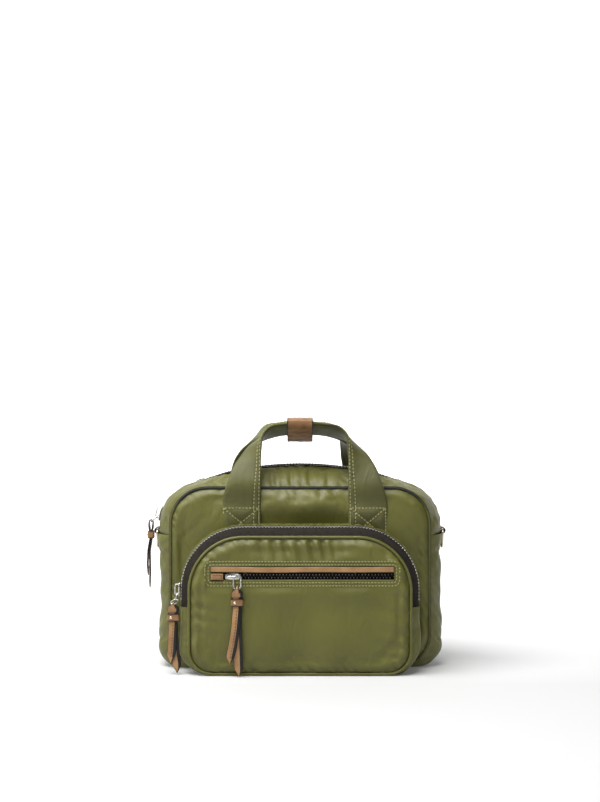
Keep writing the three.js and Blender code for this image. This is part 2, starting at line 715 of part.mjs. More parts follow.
// Welt pocket: tape and teeth behind the window, leather strip and end tab on the face, pouch behind it
const weltTapeY = pocketFaceY + padThickness + clearance + tapeThickness / 2;
const weltLength = weltRight - weltLeft;
const weltAt = (s, w, h) => new THREE.Vector3(weltLeft + s, weltTapeY - h, weltMiddle + w);
const ringBetween = (outerS, outerW, innerS, innerW, half) => cut(
  prism([[-outerS, -outerW], [weltLength + outerS, -outerW],
    [weltLength + outerS, outerW], [-outerS, outerW]],
    -half, half, weltAt),
  prism([[innerS, -innerW], [weltLength - innerS, -innerW], [weltLength - innerS, innerW], [innerS, innerW]],
    -half - overrun, half + overrun, weltAt),
);
add('welt_tape',
  ringBetween(pouchWide, weltTapeHalf, -weltTapeGap, tapeInner, tapeThickness / 2), blackCloth);
const weltStart = clearance;
const weltComb = combStart(weltLength, weltStart);
const weltStop = (from, to) => prism(
  [[from, -beadEdge], [to, -beadEdge], [to, beadEdge], [from, beadEdge]],
  -toothThickness / 2, toothThickness / 2, weltAt,
);
add('welt_teeth', join(
  comb(weltAt, weltLength, -1, weltStart), comb(weltAt, weltLength, 1, weltStart),
  weltStop(0, weltComb + stopOverlap), weltStop(weltLength - weltComb - stopOverlap, weltLength),
), steel);
const leatherBottom = weltBottom + weltWindow;
const leatherFront = pocketFaceY - clearance - weltLeatherThickness;
add('welt_leather', softPlate([
  [weltLeft, leatherBottom], [weltRight, leatherBottom],
  [weltRight, leatherBottom + weltLeatherHeight], [weltLeft, leatherBottom + weltLeatherHeight],
], leatherFront, weltLeatherThickness, leatherRoll), leather);
add('welt_end_tab', softPlate([
  [weltLeft, weltBottom + endTabInset], [weltLeft + endTabWidth, weltBottom + endTabInset],
  [weltLeft + endTabWidth, leatherBottom - endTabInset], [weltLeft, leatherBottom - endTabInset],
], leatherFront, weltLeatherThickness, leatherRoll), leather);
const pouchFront = weltTapeY + tapeThickness / 2 + clearance;
const pouchTop = weltMiddle + weltTapeHalf + pouchRise;
add('welt_pouch', cut(
  boxBetween(
    [weltLeft - pouchWide, pouchFront, pouchBottom],
    [weltRight + pouchWide, pouchFront + pouchDepth, pouchTop]),
  boxBetween(
    [weltLeft - pouchWide + pouchWall, pouchFront + pouchWall, pouchBottom + pouchWall],
    [weltRight + pouchWide - pouchWall, pouchFront + pouchDepth - pouchWall, pouchTop - pouchWall],
  ),
  boxBetween(
    [weltLeft - weltTapeGap, pouchFront - pouchWall, weltMiddle - weltTapeHalf + weltTapeGap],
    [weltRight + weltTapeGap, pouchFront + 2 * pouchWall, weltMiddle + weltTapeHalf - weltTapeGap],
  ),
), liningCloth);

// Handles: a strap stitched flat to its panel, twisting into a rim along the top.
// Each row is the half span, the depth and the height, as shares of the sizes named above.
const strapY = panelFace + clearance + strapThickness / 2;
const innerEdgeShares = [
  [1, 1, -0.42], [1, 1, 0], [1, 1, 0.24], [1, 0.97, 0.4],
  [0.99, 0.9, 0.7], [0.95, 0.86, 0.87], [0.79, 0.83, 0.96],
  [0.4, 0.82, 0.995], [0, 0.82, 1],
];
const outerEdgeShares = [
  [1, 1, -0.51], [1, 1, 0], [0.94, 0.995, 0.32], [0.84, 0.78, 0.6], [0.7, 0.42, 0.79], [0.51, 0.12, 0.92],
  [0.3, 0.052, 0.985], [0.14, 0.051, 1], [0, 0.051, 1],
];
const legOuterHalf = legInnerHalf + strapWidth;
function strapEdge(shares, half, rise) {
  const side = (way) => shares.map(([x, y, z]) => new THREE.Vector3(
    handleCentre + way * x * half, -y * strapY, handleRoot + z * rise,
  ));
  return new THREE.CatmullRomCurve3([...side(-1), ...side(1).reverse().slice(1)]);
}
const innerEdge = strapEdge(innerEdgeShares, legInnerHalf, handleRim - handleRoot);
const outerEdge = strapEdge(outerEdgeShares, legOuterHalf, handleLow - handleRoot);
const strapSteps = 40;
const strapGrid = Array.from({ length: strapSteps + 1 }, (_, i) => {
  const [a, b] = [innerEdge.getPoint(i / strapSteps), outerEdge.getPoint(i / strapSteps)];
  return [0, 1 / 3, 2 / 3, 1].map((share) => a.clone().lerp(b, share));
});
const strap = sheet(
  strapGrid, strapThickness, new THREE.Vector3(handleCentre, 0, handleRoot),
  -strapThickness / 2);
add('front_handle', strap, nylon);
add('back_handle', join(strap.clone().rotateZ(Math.PI).translate(2 * handleCentre, 0, 0)), nylon);

// Keeper: a leather loop round both straps, wide at the rims and narrow below
const keeperSide = keeperTop - 1.5 * keeperShoulder;
const keeperOutline = [
  [-keeperHalfDepth, keeperTop - keeperShoulder / 2], [-keeperHalfDepth, keeperSide],
  [-keeperShoulder, keeperBottom], [keeperShoulder, keeperBottom],
  [keeperHalfDepth, keeperSide], [keeperHalfDepth, keeperTop - keeperShoulder / 2],
  [keeperHalfDepth - keeperShoulder / 2, keeperTop], [-keeperHalfDepth + keeperShoulder / 2, keeperTop],
];
// Each corner moves along the line that keeps both of its edges at the same depth.
function inset(outline, depth) {
  const count = outline.length;
  return outline.map(([x, z], i) => {
    const [before, after] = [outline[(i + count - 1) % count], outline[(i + 1) % count]];
    const first = new THREE.Vector2(before[1] - z, x - before[0]).normalize();
    const second = new THREE.Vector2(z - after[1], after[0] - x).normalize();
    const move = first.clone().add(second).multiplyScalar(depth / (1 + first.dot(second)));
    return [x + move.x, z + move.y];
  });
}
const keeperMap = (y, z, x) => new THREE.Vector3(x, y, z);
add('handle_keeper', cut(
  prism(keeperOutline, -keeperWidth / 2, keeperWidth / 2, keeperMap),
  prism(inset(keeperOutline, keeperWall), -keeperWidth, keeperWidth, keeperMap),
), leather);

// D-rings and their tabs
const tabX = halfWidth + clearance + tabRadius - tabSink;
for (const [name, side] of [['left', -1], ['right', 1]]) {
  const circle = (radius, count) => Array.from({ length: count }, (_, k) => {
    const angle = (2 * Math.PI * k) / count;
    return [side * tabX + radius * Math.cos(angle), ringHeight + radius * Math.sin(angle)];
  });
  const tabMap = (x, z, y) => new THREE.Vector3(x, y, z);
  add(`d_ring_tab_${name}`, cut(
    prism(circle(tabRadius, 16), -tabWidth / 2, tabWidth / 2, tabMap),
    prism(circle(tabHole, 10), -tabWidth, tabWidth, tabMap),
    boxBetween(
      [Math.min(0, side * (halfWidth + clearance)), -tabWidth, 0],
      [Math.max(0, side * (halfWidth + clearance)), tabWidth, ridgeHeight],
    ),
  ), blackCloth);
  const corner = ringCorner;
  const half = ringWidth / 2;
  const path = [];
  for (let k = -1; k <= 1; k += 1) path.push([k * (half - corner), 0]);
  path.push([half - corner * 0.3, -corner * 0.3], [half, -corner]);
  for (let k = 1; k < ringSides; k += 1) {
    const angle = (Math.PI * k) / ringSides;
    path.push([half * Math.cos(angle), -corner - (ringDrop - corner) * Math.sin(angle)]);
  }
  path.push([-half, -corner], [-half + corner * 0.3, -corner * 0.3]);
  add(`d_ring_${name}`, wireLoop(
    path.map(([y, z]) => new THREE.Vector3(side * tabX, y, ringHeight + z)),
    new THREE.Vector3(1, 0, 0), ringWire,
  ), steel);
}

// Zip sliders: two plates joined by a neck that runs in the slot between the rows, and a bail on top
function slider(at, s, halfWidthHere) {
  const half = sliderLength / 2;
  const gap = toothThickness / 2 + sliderRun;
  const waist = halfWidthHere * 0.72;
  const plan = [
    [s - half, -waist], [s, -halfWidthHere],
    [s + half * 0.7, -halfWidthHere], [s + half, -halfWidthHere * 0.7],
    [s + half, halfWidthHere * 0.7], [s + half * 0.7, halfWidthHere], [s, halfWidthHere], [s - half, waist],
  ];
  const neck = [
    [s + half * 0.3, -sliderNeck], [s + half * 0.8, -sliderNeck],
    [s + half * 0.8, sliderNeck], [s + half * 0.3, sliderNeck],
  ];
  const top = gap + sliderPlate;
  const reach = sliderLength * bailReachShare;
  const wire = bailWire * 2;
  const bail = [
    [s - reach, top - sliderPlate / 2], [s - reach, top + bailHeight - wire],
    [s - reach + wire, top + bailHeight],
    [s + reach - wire, top + bailHeight], [s + reach, top + bailHeight - wire],
    [s + reach, top - sliderPlate / 2],
    [s + reach - wire, top - sliderPlate / 2], [s + reach - wire, top + bailHeight - wire * 1.5],
    [s + reach - wire * 1.5, top + bailHeight - wire], [s - reach + wire * 1.5, top + bailHeight - wire],
    [s - reach + wire, top + bailHeight - wire * 1.5], [s - reach + wire, top - sliderPlate / 2],
  ];
  return join(
    prism(plan, gap, top, at),
    prism(plan, -top, -gap, at),
    prism(neck, -gap - sliderPlate / 2, gap + sliderPlate / 2, at),
    prism(bail, -bailWire, bailWire, (a, h, w) => at(a, w, h)),
  );
}

// An oval wire link. The long axis runs from top to bottom; side is the direction of its width.
function link(top, bottom, side, radius) {
  const axis = bottom.clone().sub(top).normalize();
  const steps = 8;
  const path = [];
  for (let k = 0; k <= steps; k += 1) {
    const angle = (Math.PI * k) / steps;
    path.push(
      top.clone().addScaledVector(axis, radius - radius * Math.sin(angle))
        .addScaledVector(side, radius * Math.cos(angle)));
  }
  for (let k = 0; k <= steps; k += 1) {
    const angle = (Math.PI * k) / steps;
    path.push(
      bottom.clone().addScaledVector(axis, radius * Math.sin(angle) - radius)
        .addScaledVector(side, -radius * Math.cos(angle)));
  }
  return wireLoop(path, new THREE.Vector3().crossVectors(axis, side).normalize(), linkWire);
}

// A leather strap folded over a bar. hang is the bar's middle, side its direction; out points forward.
function pullStrap(hang, side, out, neck, frontDrop, backDrop, fanShares) {
  const turn = pullLoopRadius + pullThickness / 2;
  const tight = pullThickness / 2 + clearance / 2;
  const arc = 6;
  const rows = [];
  const push = (depth, drop, width, drift) => {
    const middle = hang.clone().addScaledVector(out, depth).addScaledVector(side, drift);
    middle.z -= drop;
    rows.push([-1, 0, 1].map((way) => middle.clone().addScaledVector(side, (way * width) / 2)));
  };
  const tail = (way, drop, fan) => [
    [way * tight, drop, pullThickness, fan],
    [way * tight, drop - pullStrapWidth * 0.7, pullStrapWidth * 0.8, fan * 0.9],
    [way * tight, drop - pullStrapWidth * 1.1, pullStrapWidth, fan * 0.85],
    [way * tight, (drop + bandDrop + bandHeight) / 2, pullStrapWidth, fan * 0.4],
    [way * tight, bandDrop + bandHeight, pullStrapWidth, 0], [way * tight, bandDrop, pullStrapWidth, 0],
    [way * turn * 0.8, bandDrop * 0.75, pullLoopWidth, 0], [way * turn, bandDrop * 0.3, pullLoopWidth, 0],
  ];
  tail(1, frontDrop, fanShares[0] * frontDrop).forEach((row) => push(...row));
  for (let k = 0; k <= arc; k += 1) {
    const angle = (Math.PI * k) / arc;
    push(turn * Math.cos(angle), -turn * Math.sin(angle), neck, 0);
  }
  tail(-1, backDrop, fanShares[1] * backDrop).reverse().forEach((row) => push(...row));
  return sheet(rows, pullThickness, hang, -pullThickness / 2);
}

function pullBand(hang, side, out) {
  const inner = [pullStrapWidth / 2 + clearance, pullThickness + clearance * 1.5];
  const outer = [inner[0] + bandWall, inner[1] + bandWall];
  const map = (a, b, z) =>
    hang.clone().addScaledVector(side, a).addScaledVector(out, b)
      .add(new THREE.Vector3(0, 0, -z));
  const soft = bandWall * 0.6;
  const ring = ([a, b], c) =>
    [[-a + c, -b], [a - c, -b], [a, -b + c], [a, b - c], [a - c, b], [-a + c, b], [-a, b - c], [-a, -b + c]];
  return cut(
    prism(ring(outer, soft), bandDrop, bandDrop + bandHeight, map),
    prism(ring(inner, soft / 3), bandDrop - bandWall, bandDrop + bandHeight + bandWall, map),
  );
}

function rivet(hang, side, out) {
  const front = pullThickness + clearance * 1.5 + bandWall + clearance / 2;
  const profile = [[0, 0], [rivetRadius, 0], [rivetRadius * 0.8, rivetHeight * 0.7], [0, rivetHeight]];
  const geometry = new THREE.LatheGeometry(profile.map(([r, h]) => new THREE.Vector2(r, h)), 10);
  geometry.applyQuaternion(new THREE.Quaternion().setFromUnitVectors(new THREE.Vector3(0, 1, 0), out));
  const place = hang.clone().addScaledVector(out, front).addScaledVector(side, -pullStrapWidth / 4);
  geometry.translate(place.x, place.y, place.z - bandDrop - bandHeight / 2);
  return join(geometry);
}

// The strap's fold is narrowed to fit inside the link it hangs on.
function pull(name, linkGeometry, hang, side, out, radius, frontDrop, backDrop, fanShares) {
  const linkGroup = new THREE.Group();
  const strapGroup = new THREE.Group();
  bag.add(linkGroup, strapGroup);
  const neck = 2 * (radius - linkWire - pullNeckGaps * clearance);
  add(`${name}_link`, linkGeometry, steel, linkGroup);
  add(`${name}_strap`, pullStrap(hang, side, out, neck, frontDrop, backDrop, fanShares), leather, strapGroup);
  add(`${name}_band`, pullBand(hang, side, out), leather, strapGroup);
  add(`${name}_rivet`, rivet(hang, side, out), steel, strapGroup);
}

// The link's upper wire lies under the bail, and its hole takes the bail's end post.
const linkRest = toothThickness / 2 + sliderRun + sliderPlate + linkWire + clearance;
const postReach = sliderLength * bailReachShare - bailWire;
const postGap = bailWire + linkWire + 2 * clearance;
const bandHalf = pullThickness + 1.5 * clearance + bandWall;
const acrossX = new THREE.Vector3(1, 0, 0);
const acrossY = new THREE.Vector3(0, 1, 0);
const forward = new THREE.Vector3(0, -1, 0);
const leftward = new THREE.Vector3(-1, 0, 0);

// Welt slider near the left end. Its link hangs from the bail's right post, before the pocket's face.
add('welt_slider', slider(weltAt, weltSliderPlace, weltSliderHalfWidth), steel);
const weltTop = weltAt(weltSliderPlace + postReach, postGap, linkRest);
const weltHang = new THREE.Vector3(weltTop.x, pocketFaceY - clearance - bandHalf, weltTop.z - weltLinkLength);
pull(
  'welt_pull', link(weltTop, weltHang, acrossX, linkRadius), weltHang, acrossX, forward, linkRadius,
  weltFrontDrop, weltBackDrop, [-0.1, 0.02],
);

// Pocket slider at the left end of the pocket's zip. Its link has two eyes set square to each other.
const pocketSliderS = pocketCornerHeight - pocketZipEnd - clearance;
add('pocket_slider', slider(pocketAt, pocketSliderS, sliderHalfWidth), steel);
const pocketTopWire = pocketAt(pocketSliderS - postReach + postGap, 0, linkRest);
const pocketHang = new THREE.Vector3(
  -pocketHalf - pullLoopWidth / 2 - bandWall, pocketRidgeY - pocketHangForward,
  pocketTopWire.z - pocketHangBelow);
const pocketMid = pocketTopWire.clone()
  .add(new THREE.Vector3(-pocketEyeTurnX, -pocketEyeTurnY, -2.2 * eyeRadius));
pull(
  'pocket_pull',
  join(link(pocketTopWire, pocketMid, acrossY, eyeRadius), link(pocketMid, pocketHang, acrossX, eyeRadius)),
  pocketHang, acrossX, forward, eyeRadius, pocketFrontDrop, pocketBackDrop, [-0.04, 0.06],
);

// Main slider at the left end of the main zip. Its pull lies over the D-ring's tab.
const mainSliderS = zipSideRun + mainSliderPastBend;
add('main_slider', slider(mainAt, mainSliderS, sliderHalfWidth), steel);
const mainTopWire = mainAt(mainSliderS - postReach + postGap, 0, linkRest);
const mainHang = new THREE.Vector3(
  -tabX - tabRadius - clearance - bandHalf, 0, mainTopWire.z - mainHangBelow);
pull(
  'main_pull', link(mainTopWire, mainHang, acrossY, linkRadius), mainHang, acrossY, leftward, linkRadius,
  mainFrontDrop, mainBackDrop, [0, 0.03],
);

// Lining and base board
const liningY = edgeY - padThickness;
const boardBottom = seamBottom * (1 - lowerShare(liningY)) + gussetThickness + clearance;
const boardTop = seamBottom + liningInset - clearance;
const liningBlock = (depthIn, y) =>
  plate(seamTrack.outline(-liningInset - depthIn, panelDivisions, true), -y, y);
add('lining', cut(
  liningBlock(0, liningY),
  liningBlock(liningThickness, liningY - liningThickness),
  boxBetween([-bagWidth, -bagDepth, liningTop], [bagWidth, bagDepth, ridgeHeight]),
), liningCloth);
const boardHalf = seamHalf - seamBottomRadius;
add('base_board', boxBetween([-boardHalf, -liningY, boardBottom], [boardHalf, liningY, boardTop]), board);

export default bag;
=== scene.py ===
"""A crossbody purse: a small padded satin-nylon bag with leather trims and three zips, on a white floor.

Lengths below are millimetres; MM turns them into metres when a mesh is made.
+X is the viewer's right, -Y the front, +Z up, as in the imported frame.
"""
import math

import bmesh
import bpy
import numpy as np
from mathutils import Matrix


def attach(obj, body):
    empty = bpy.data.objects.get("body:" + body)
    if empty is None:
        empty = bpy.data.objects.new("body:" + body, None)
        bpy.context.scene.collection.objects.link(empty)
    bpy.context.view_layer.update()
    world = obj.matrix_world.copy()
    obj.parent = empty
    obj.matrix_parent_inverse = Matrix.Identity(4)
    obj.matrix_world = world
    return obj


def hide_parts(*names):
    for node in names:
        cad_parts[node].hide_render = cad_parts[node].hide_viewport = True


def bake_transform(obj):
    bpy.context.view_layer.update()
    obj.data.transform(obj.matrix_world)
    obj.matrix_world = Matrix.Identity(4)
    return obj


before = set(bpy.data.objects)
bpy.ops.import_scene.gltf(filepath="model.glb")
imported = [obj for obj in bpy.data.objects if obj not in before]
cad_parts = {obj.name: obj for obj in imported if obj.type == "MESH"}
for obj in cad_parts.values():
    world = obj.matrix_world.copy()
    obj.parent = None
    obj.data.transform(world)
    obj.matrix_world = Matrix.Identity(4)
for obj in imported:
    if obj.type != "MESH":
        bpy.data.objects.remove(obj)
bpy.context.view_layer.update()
MM = 0.001
QUARTER = math.pi / 2
ACROSS_X = np.array([1.0, 0, 0])
ACROSS_Y = np.array([0, 1.0, 0])
FORWARD = np.array([0, -1.0, 0])
LEFTWARD = np.array([-1.0, 0, 0])

# Main body
BAG_HALF = 125
PANEL_FACE = 36
RIDGE_HEIGHT = 176.7
RIDGE_CORNER_RADIUS = 38
RIDGE_CORNER_HEIGHT = 124
SIDE_BULGE = 12
SEAM_TOP = 158
SEAM_BOTTOM = 4
SEAM_TOP_RADIUS = 32
SEAM_BOTTOM_RADIUS = 26
BELLY_BOTTOM_RADIUS = 20
BASE_HALF = 14
ZIP_END_HEIGHT = 117
LIP_ANGLE_SHARE = 0.85
SEAM_Y = 34.6
EDGE_Y = 32.9
LIP_HALF = 80.7
SEAM_HALF = BAG_HALF - SIDE_BULGE
CORNER_X = BAG_HALF - RIDGE_CORNER_RADIUS
PIPING_INSET = 1.7
MAIN_ZIP_LIFT = 1.6
UPPER_PAD_HEIGHT = 145
UPPER_DIP_HEIGHT = 126
SIDE_PAD_HEIGHT = 128
UPPER_PAD = 2.8
SIDE_PAD = 2.6
UPPER_PAD_HALF = 104
BESIDE_HANDLES = 62
SIDE_SLACK = 2.6
LIFT_START = 66
LIFT_RUN = 30
CROWN_SHARE = 0.85
ZIP_FLAT = 5
ZIP_DEPTH = 0.9
TAPE_HALF = 8
TAPE_INNER = 1.6

# Zip teeth
TOOTH_PITCH = 2.8
TOOTH_LENGTH = 1.15
TOOTH_OUTER = 2.95
TOOTH_TIP = 0.75
TOOTH_HALF_HEIGHT = 1.0

# Front pocket
POCKET_HALF = 102.5
POCKET_TOP = 126
POCKET_CORNER_RADIUS = 54
POCKET_BOTTOM = 0.4
POCKET_BOTTOM_RADIUS = 24
POCKET_PIPE_BOTTOM = 1.6
POCKET_PIPE_BOTTOM_RADIUS = 20
POCKET_RIDGE_Y = -50
POCKET_FACE_Y = -66
POCKET_PIPE_Y = -63
POCKET_PIPE_RADIUS = 1.3
POCKET_PIPE_INSET = 1.6
POCKET_EDGE_Y = -61.4
POCKET_JOIN_Y = -37.5
POCKET_ZIP_END = 58
POCKET_SLOPE = 8
POCKET_LIP_HEIGHT = 99
POCKET_LIP_HALF = 47.9
POCKET_BACK_TAPE = 6
BACK_RISE = 0.19
HANGING_PITCH = 11.5
HANGING_REACH = 20
HANGING_DEPTH = 2.3
SIDE_PULL_PITCH = 15
SIDE_PULL_DEPTH = 1.0
POCKET_MIDDLE = (0, -50, 60)

# Welt pocket
WELT_LEFT = -76
WELT_RIGHT = 80
WELT_BOTTOM = 81.2
WELT_TOP = 88.4
WELT_MIDDLE = 84.8
WELT_TAPE_Y = -62.3
WELT_LEATHER_HEIGHT = 5.1
WELT_LEATHER_FRONT = -67.7
END_TAB_WIDTH = 11
WELT_TOOTH_OUTER = 1.3
WELT_TOOTH_LENGTH = 0.8
POUCH_BOTTOM = 30
POUCH_TOP = 94.5
POUCH_HALF = 81.5
POUCH_HALF_DEPTH = 4.2

# Handles and keeper
STRAP_WIDTH = 34
STRAP_THICKNESS = 3
LEG_INNER_HALF = 38
HANDLE_CENTRE = 4
HANDLE_ROOT = 143
HANDLE_RIM = 215
HANDLE_LOW = 204
STRAP_Y = 37.8
KEEPER_HALF = 11.3
KEEPER_TOP = 219
KEEPER_BOTTOM = 197.4
KEEPER_HALF_DEPTH = 35.4
KEEPER_WALL = 1.6
KEEPER_SHOULDER = 5
BACK_LEAN = 4.5
FOOT_INSET = 1.6
FOOT_LOW = 27.5
FOOT_HIGH = 2.0
STITCH_ROWS = (2, 7)
STRAP_STEPS = 241
STRAP_COLUMNS = 40

# Hardware and pulls
RING_X = 126.9
RING_HEIGHT = 118.6
RING_HALF = 10
RING_DROP = 15
RING_CORNER = 3
RING_WIRE = 1.1
TAB_HALF = 7.5
TAB_RADIUS = 3.4
TAB_OUTER = 3.0
SLIDER_LENGTH = 13
SLIDER_HALF = 4.6
WELT_SLIDER_HALF = 3.2
SLIDER_GAP = 1.6
SLIDER_PLATE = 1.2
BAIL_HEIGHT = 3.6
BAIL_REACH = 4.875
BAIL_WIRE = 0.5
BAIL_SPACING = 0.45
LINK_WIRE = 0.6
LINK_RADIUS = 3.2
EYE_RADIUS = 2.7
PULL_WIDTH = 7.6
PULL_LOOP_WIDTH = 9.6
PULL_THICKNESS = 1.2
PULL_DRIFT = 2.0
PAINT_WIDTH = 0.5
DARK_SIDE = 2.6
RIVET_RADIUS = 1.2
BAND_DROP = 8
BAND_HEIGHT = 6.5
PULL_BAND_DEPTH = PULL_THICKNESS + 0.45 + 1.1
WELT_LINK_LENGTH = 12
POCKET_HANG_FORWARD = 7
POCKET_HANG_BELOW = 9
MAIN_HANG_BELOW = 5.5


def ripple(points, wavelength, seed, waves=7):
    """Smooth noise of about unit size: sum of sin(k.p + phase) over random ways, over sqrt(waves / 2)."""
    rng = np.random.default_rng(seed)
    ways = rng.normal(size=(waves, 3))
    ways /= np.linalg.norm(ways, axis=1, keepdims=True)
    ways *= (2 * math.pi / wavelength * rng.uniform(0.6, 1.5, waves))[:, None]
    return np.sin(points @ ways.T + rng.uniform(0, 6.28, waves)).sum(-1) / math.sqrt(waves / 2)


def hump(value, middle, width):
    return np.exp(-((value - middle) / width) ** 2)


def unit(vectors):
    """The same vectors at length one."""
    return vectors / np.maximum(np.linalg.norm(vectors, axis=-1, keepdims=True), 1e-9)


def path_lengths(path):
    """The length of a path of points up to each of them."""
    return np.concatenate([[0], np.cumsum(np.linalg.norm(np.diff(path, axis=0), axis=1))])


def read_along(places, s, values):
    """The rows of values, which are known at the lengths s, at other lengths."""
    return np.stack([np.interp(places, s, values[:, k]) for k in range(values.shape[1])], -1)


def stood(flat, y):
    """Flat (x, z) points stood up at the depth y."""
    return np.stack([flat[:, 0], np.full(len(flat), y), flat[:, 1]], -1)


def circle(count, radius):
    angle = np.linspace(0, 2 * math.pi, count, endpoint=False)
    return radius * np.stack([np.cos(angle), np.sin(angle)], -1)


def level_line(x, y, z, count):
    """Points on a level line from x[0] to x[1]."""
    return np.stack([np.linspace(*x, count), np.full(count, y), np.full(count, z)], -1)


def puckers(along, pitch, seed):
    """Gathers along a seam: sin(2 pi s / pitch + wander), and the wander is slow noise of s."""
    line = np.stack([along, 0 * along, 0 * along], -1)
    return np.sin(2 * math.pi * along / pitch + 2.4 * ripple(line, pitch * 5, seed)) * (
        0.65 + 0.35 * ripple(line, pitch * 3, seed + 1))


class Track:
    """Straight runs and clockwise turns in the XZ plane, as in the CAD; t counts the pieces."""

    def __init__(self, x, z, heading, parts):
        self.pieces = []
        self.length = 0
        for size, turn in parts:
            out = np.array([-math.sin(heading), math.cos(heading)])
            centre = np.array([x, z]) - out * size
            self.pieces.append((np.array([x, z]), heading, size, turn, centre, self.length))
            if turn:
                heading -= turn
                x, z = centre + size * np.array([-math.sin(heading), math.cos(heading)])
                self.length += size * turn
            else:
                x, z = x + size * math.cos(heading), z + size * math.sin(heading)
                self.length += size

    def starts(self):
        return np.array([piece[5] for piece in self.pieces] + [self.length])

    def place(self, t):
        """Points and outward directions, both (n, 2), at the piece counts t."""
        t = np.clip(np.asarray(t, float), 0, len(self.pieces) - 1e-9)
        points = np.zeros(t.shape + (2,))
        outs = np.zeros(t.shape + (2,))
        for index, (start, heading, size, turn, centre, _) in enumerate(self.pieces):
            here = (t >= index) & (t < index + 1)
            share = t[here] - index
            angle = heading - turn * share
            out = np.stack([-np.sin(angle), np.cos(angle)], -1)
            along = np.array([math.cos(heading), math.sin(heading)])
            points[here] = centre + out * size if turn else start + along * (size * share)[:, None]
            outs[here] = out
        return points, outs

    def count(self, s):
        """The piece count t at the length s."""
        starts = self.starts()
        return np.interp(s, starts, np.arange(len(starts)))

    def spread(self, step):
        """Piece counts about one step apart along the track."""
        return self.count(np.linspace(0, self.length, int(self.length / step) + 1))


def panel_track(half, bottom, top, bottom_radius, top_radius):
    side = (top - bottom - bottom_radius - top_radius, 0)
    foot = (half - bottom_radius, 0)
    low, high = (bottom_radius, QUARTER), (top_radius, QUARTER)
    lid = (2 * (half - top_radius), 0)
    return Track(0, bottom, math.pi, [foot, low, side, high, lid, high, side, low, foot])


def under_track(half, bottom, radius, end):
    side = (end - bottom - radius, 0)
    turn = (radius, QUARTER)
    return Track(half, end, -QUARTER, [side, turn, (2 * (half - radius), 0), turn, side])


ridge_drop = RIDGE_CORNER_HEIGHT - RIDGE_HEIGHT
CROWN_RADIUS = (CORNER_X ** 2 + ridge_drop ** 2 - RIDGE_CORNER_RADIUS ** 2) / (
    -2 * (ridge_drop + RIDGE_CORNER_RADIUS))
crown_angle = math.asin(CORNER_X / (CROWN_RADIUS - RIDGE_CORNER_RADIUS))
seam_straight = SEAM_HALF - SEAM_TOP_RADIUS
lip_angle = math.asin(seam_straight / CROWN_RADIUS)
side_run = RIDGE_CORNER_HEIGHT - ZIP_END_HEIGHT
seam_side = SEAM_TOP - SEAM_TOP_RADIUS - ZIP_END_HEIGHT
SEAM = panel_track(SEAM_HALF, SEAM_BOTTOM, SEAM_TOP, SEAM_BOTTOM_RADIUS, SEAM_TOP_RADIUS)
ridge_end = [(side_run, 0), (RIDGE_CORNER_RADIUS, QUARTER - crown_angle),
             (CROWN_RADIUS, crown_angle - lip_angle)]
arch_end = [(seam_side, 0), (SEAM_TOP_RADIUS, QUARTER * LIP_ANGLE_SHARE),
            (SEAM_TOP_RADIUS, QUARTER * (1 - LIP_ANGLE_SHARE))]
ridge_parts = ridge_end + [(CROWN_RADIUS, 2 * lip_angle)] + ridge_end[::-1]
arch_parts = arch_end + [(2 * seam_straight, 0)] + arch_end[::-1]
RIDGE = Track(-BAG_HALF, ZIP_END_HEIGHT, QUARTER, ridge_parts)
ARCH = Track(-SEAM_HALF, ZIP_END_HEIGHT, QUARTER, arch_parts)
BELLY = under_track(BAG_HALF, 0, BELLY_BOTTOM_RADIUS, ZIP_END_HEIGHT)
SEAM_UNDER = under_track(SEAM_HALF, SEAM_BOTTOM, SEAM_BOTTOM_RADIUS, ZIP_END_HEIGHT)


def pocket_arch(half, radius):
    rise = POCKET_TOP - POCKET_CORNER_RADIUS - POCKET_ZIP_END
    flat = 2 * (POCKET_HALF - POCKET_CORNER_RADIUS)
    parts = [(rise, 0), (radius, QUARTER), (flat, 0), (radius, QUARTER), (rise, 0)]
    return Track(-half, POCKET_ZIP_END, QUARTER, parts)


PIPE_HALF = POCKET_HALF - POCKET_SLOPE
PIPE_CORNER = POCKET_CORNER_RADIUS - POCKET_SLOPE
POCKET_RIDGE = pocket_arch(POCKET_HALF, POCKET_CORNER_RADIUS)
POCKET_PIPE_ARCH = pocket_arch(PIPE_HALF, PIPE_CORNER)
POCKET_UNDER = under_track(POCKET_HALF, POCKET_BOTTOM, POCKET_BOTTOM_RADIUS, POCKET_ZIP_END)
POCKET_PIPE_UNDER = under_track(PIPE_HALF, POCKET_PIPE_BOTTOM, POCKET_PIPE_BOTTOM_RADIUS, POCKET_ZIP_END)
POCKET_PIPE = panel_track(
    PIPE_HALF, POCKET_PIPE_BOTTOM, POCKET_TOP - POCKET_SLOPE, POCKET_PIPE_BOTTOM_RADIUS, PIPE_CORNER)


# Meshes

def add_mesh(name, points, quads, material, uv=None):
    """A smooth mesh from vertices in mm and (n, 4) corners; uv is one pair for each vertex, in mm."""
    mesh = bpy.data.meshes.new(name)
    mesh.vertices.add(len(points))
    mesh.vertices.foreach_set("co", (np.asarray(points, float) * MM).ravel())
    mesh.loops.add(quads.size)
    mesh.loops.foreach_set("vertex_index", quads.ravel())
    mesh.polygons.add(len(quads))
    mesh.polygons.foreach_set("loop_start", np.arange(len(quads)) * 4)
    mesh.update(calc_edges=True)
    mesh.polygons.foreach_set("use_smooth", np.ones(len(quads), bool))
    if uv is not None:
        layer = mesh.uv_layers.new(name="Length")
        layer.data.foreach_set("uv", uv[quads.ravel()].ravel())
    mesh.validate()
    return link_piece(name, mesh, material)


def link_piece(name, mesh, material):
    piece = bpy.data.objects.new(name, mesh)
    piece.data.materials.append(material)
    bpy.context.collection.objects.link(piece)
    return piece


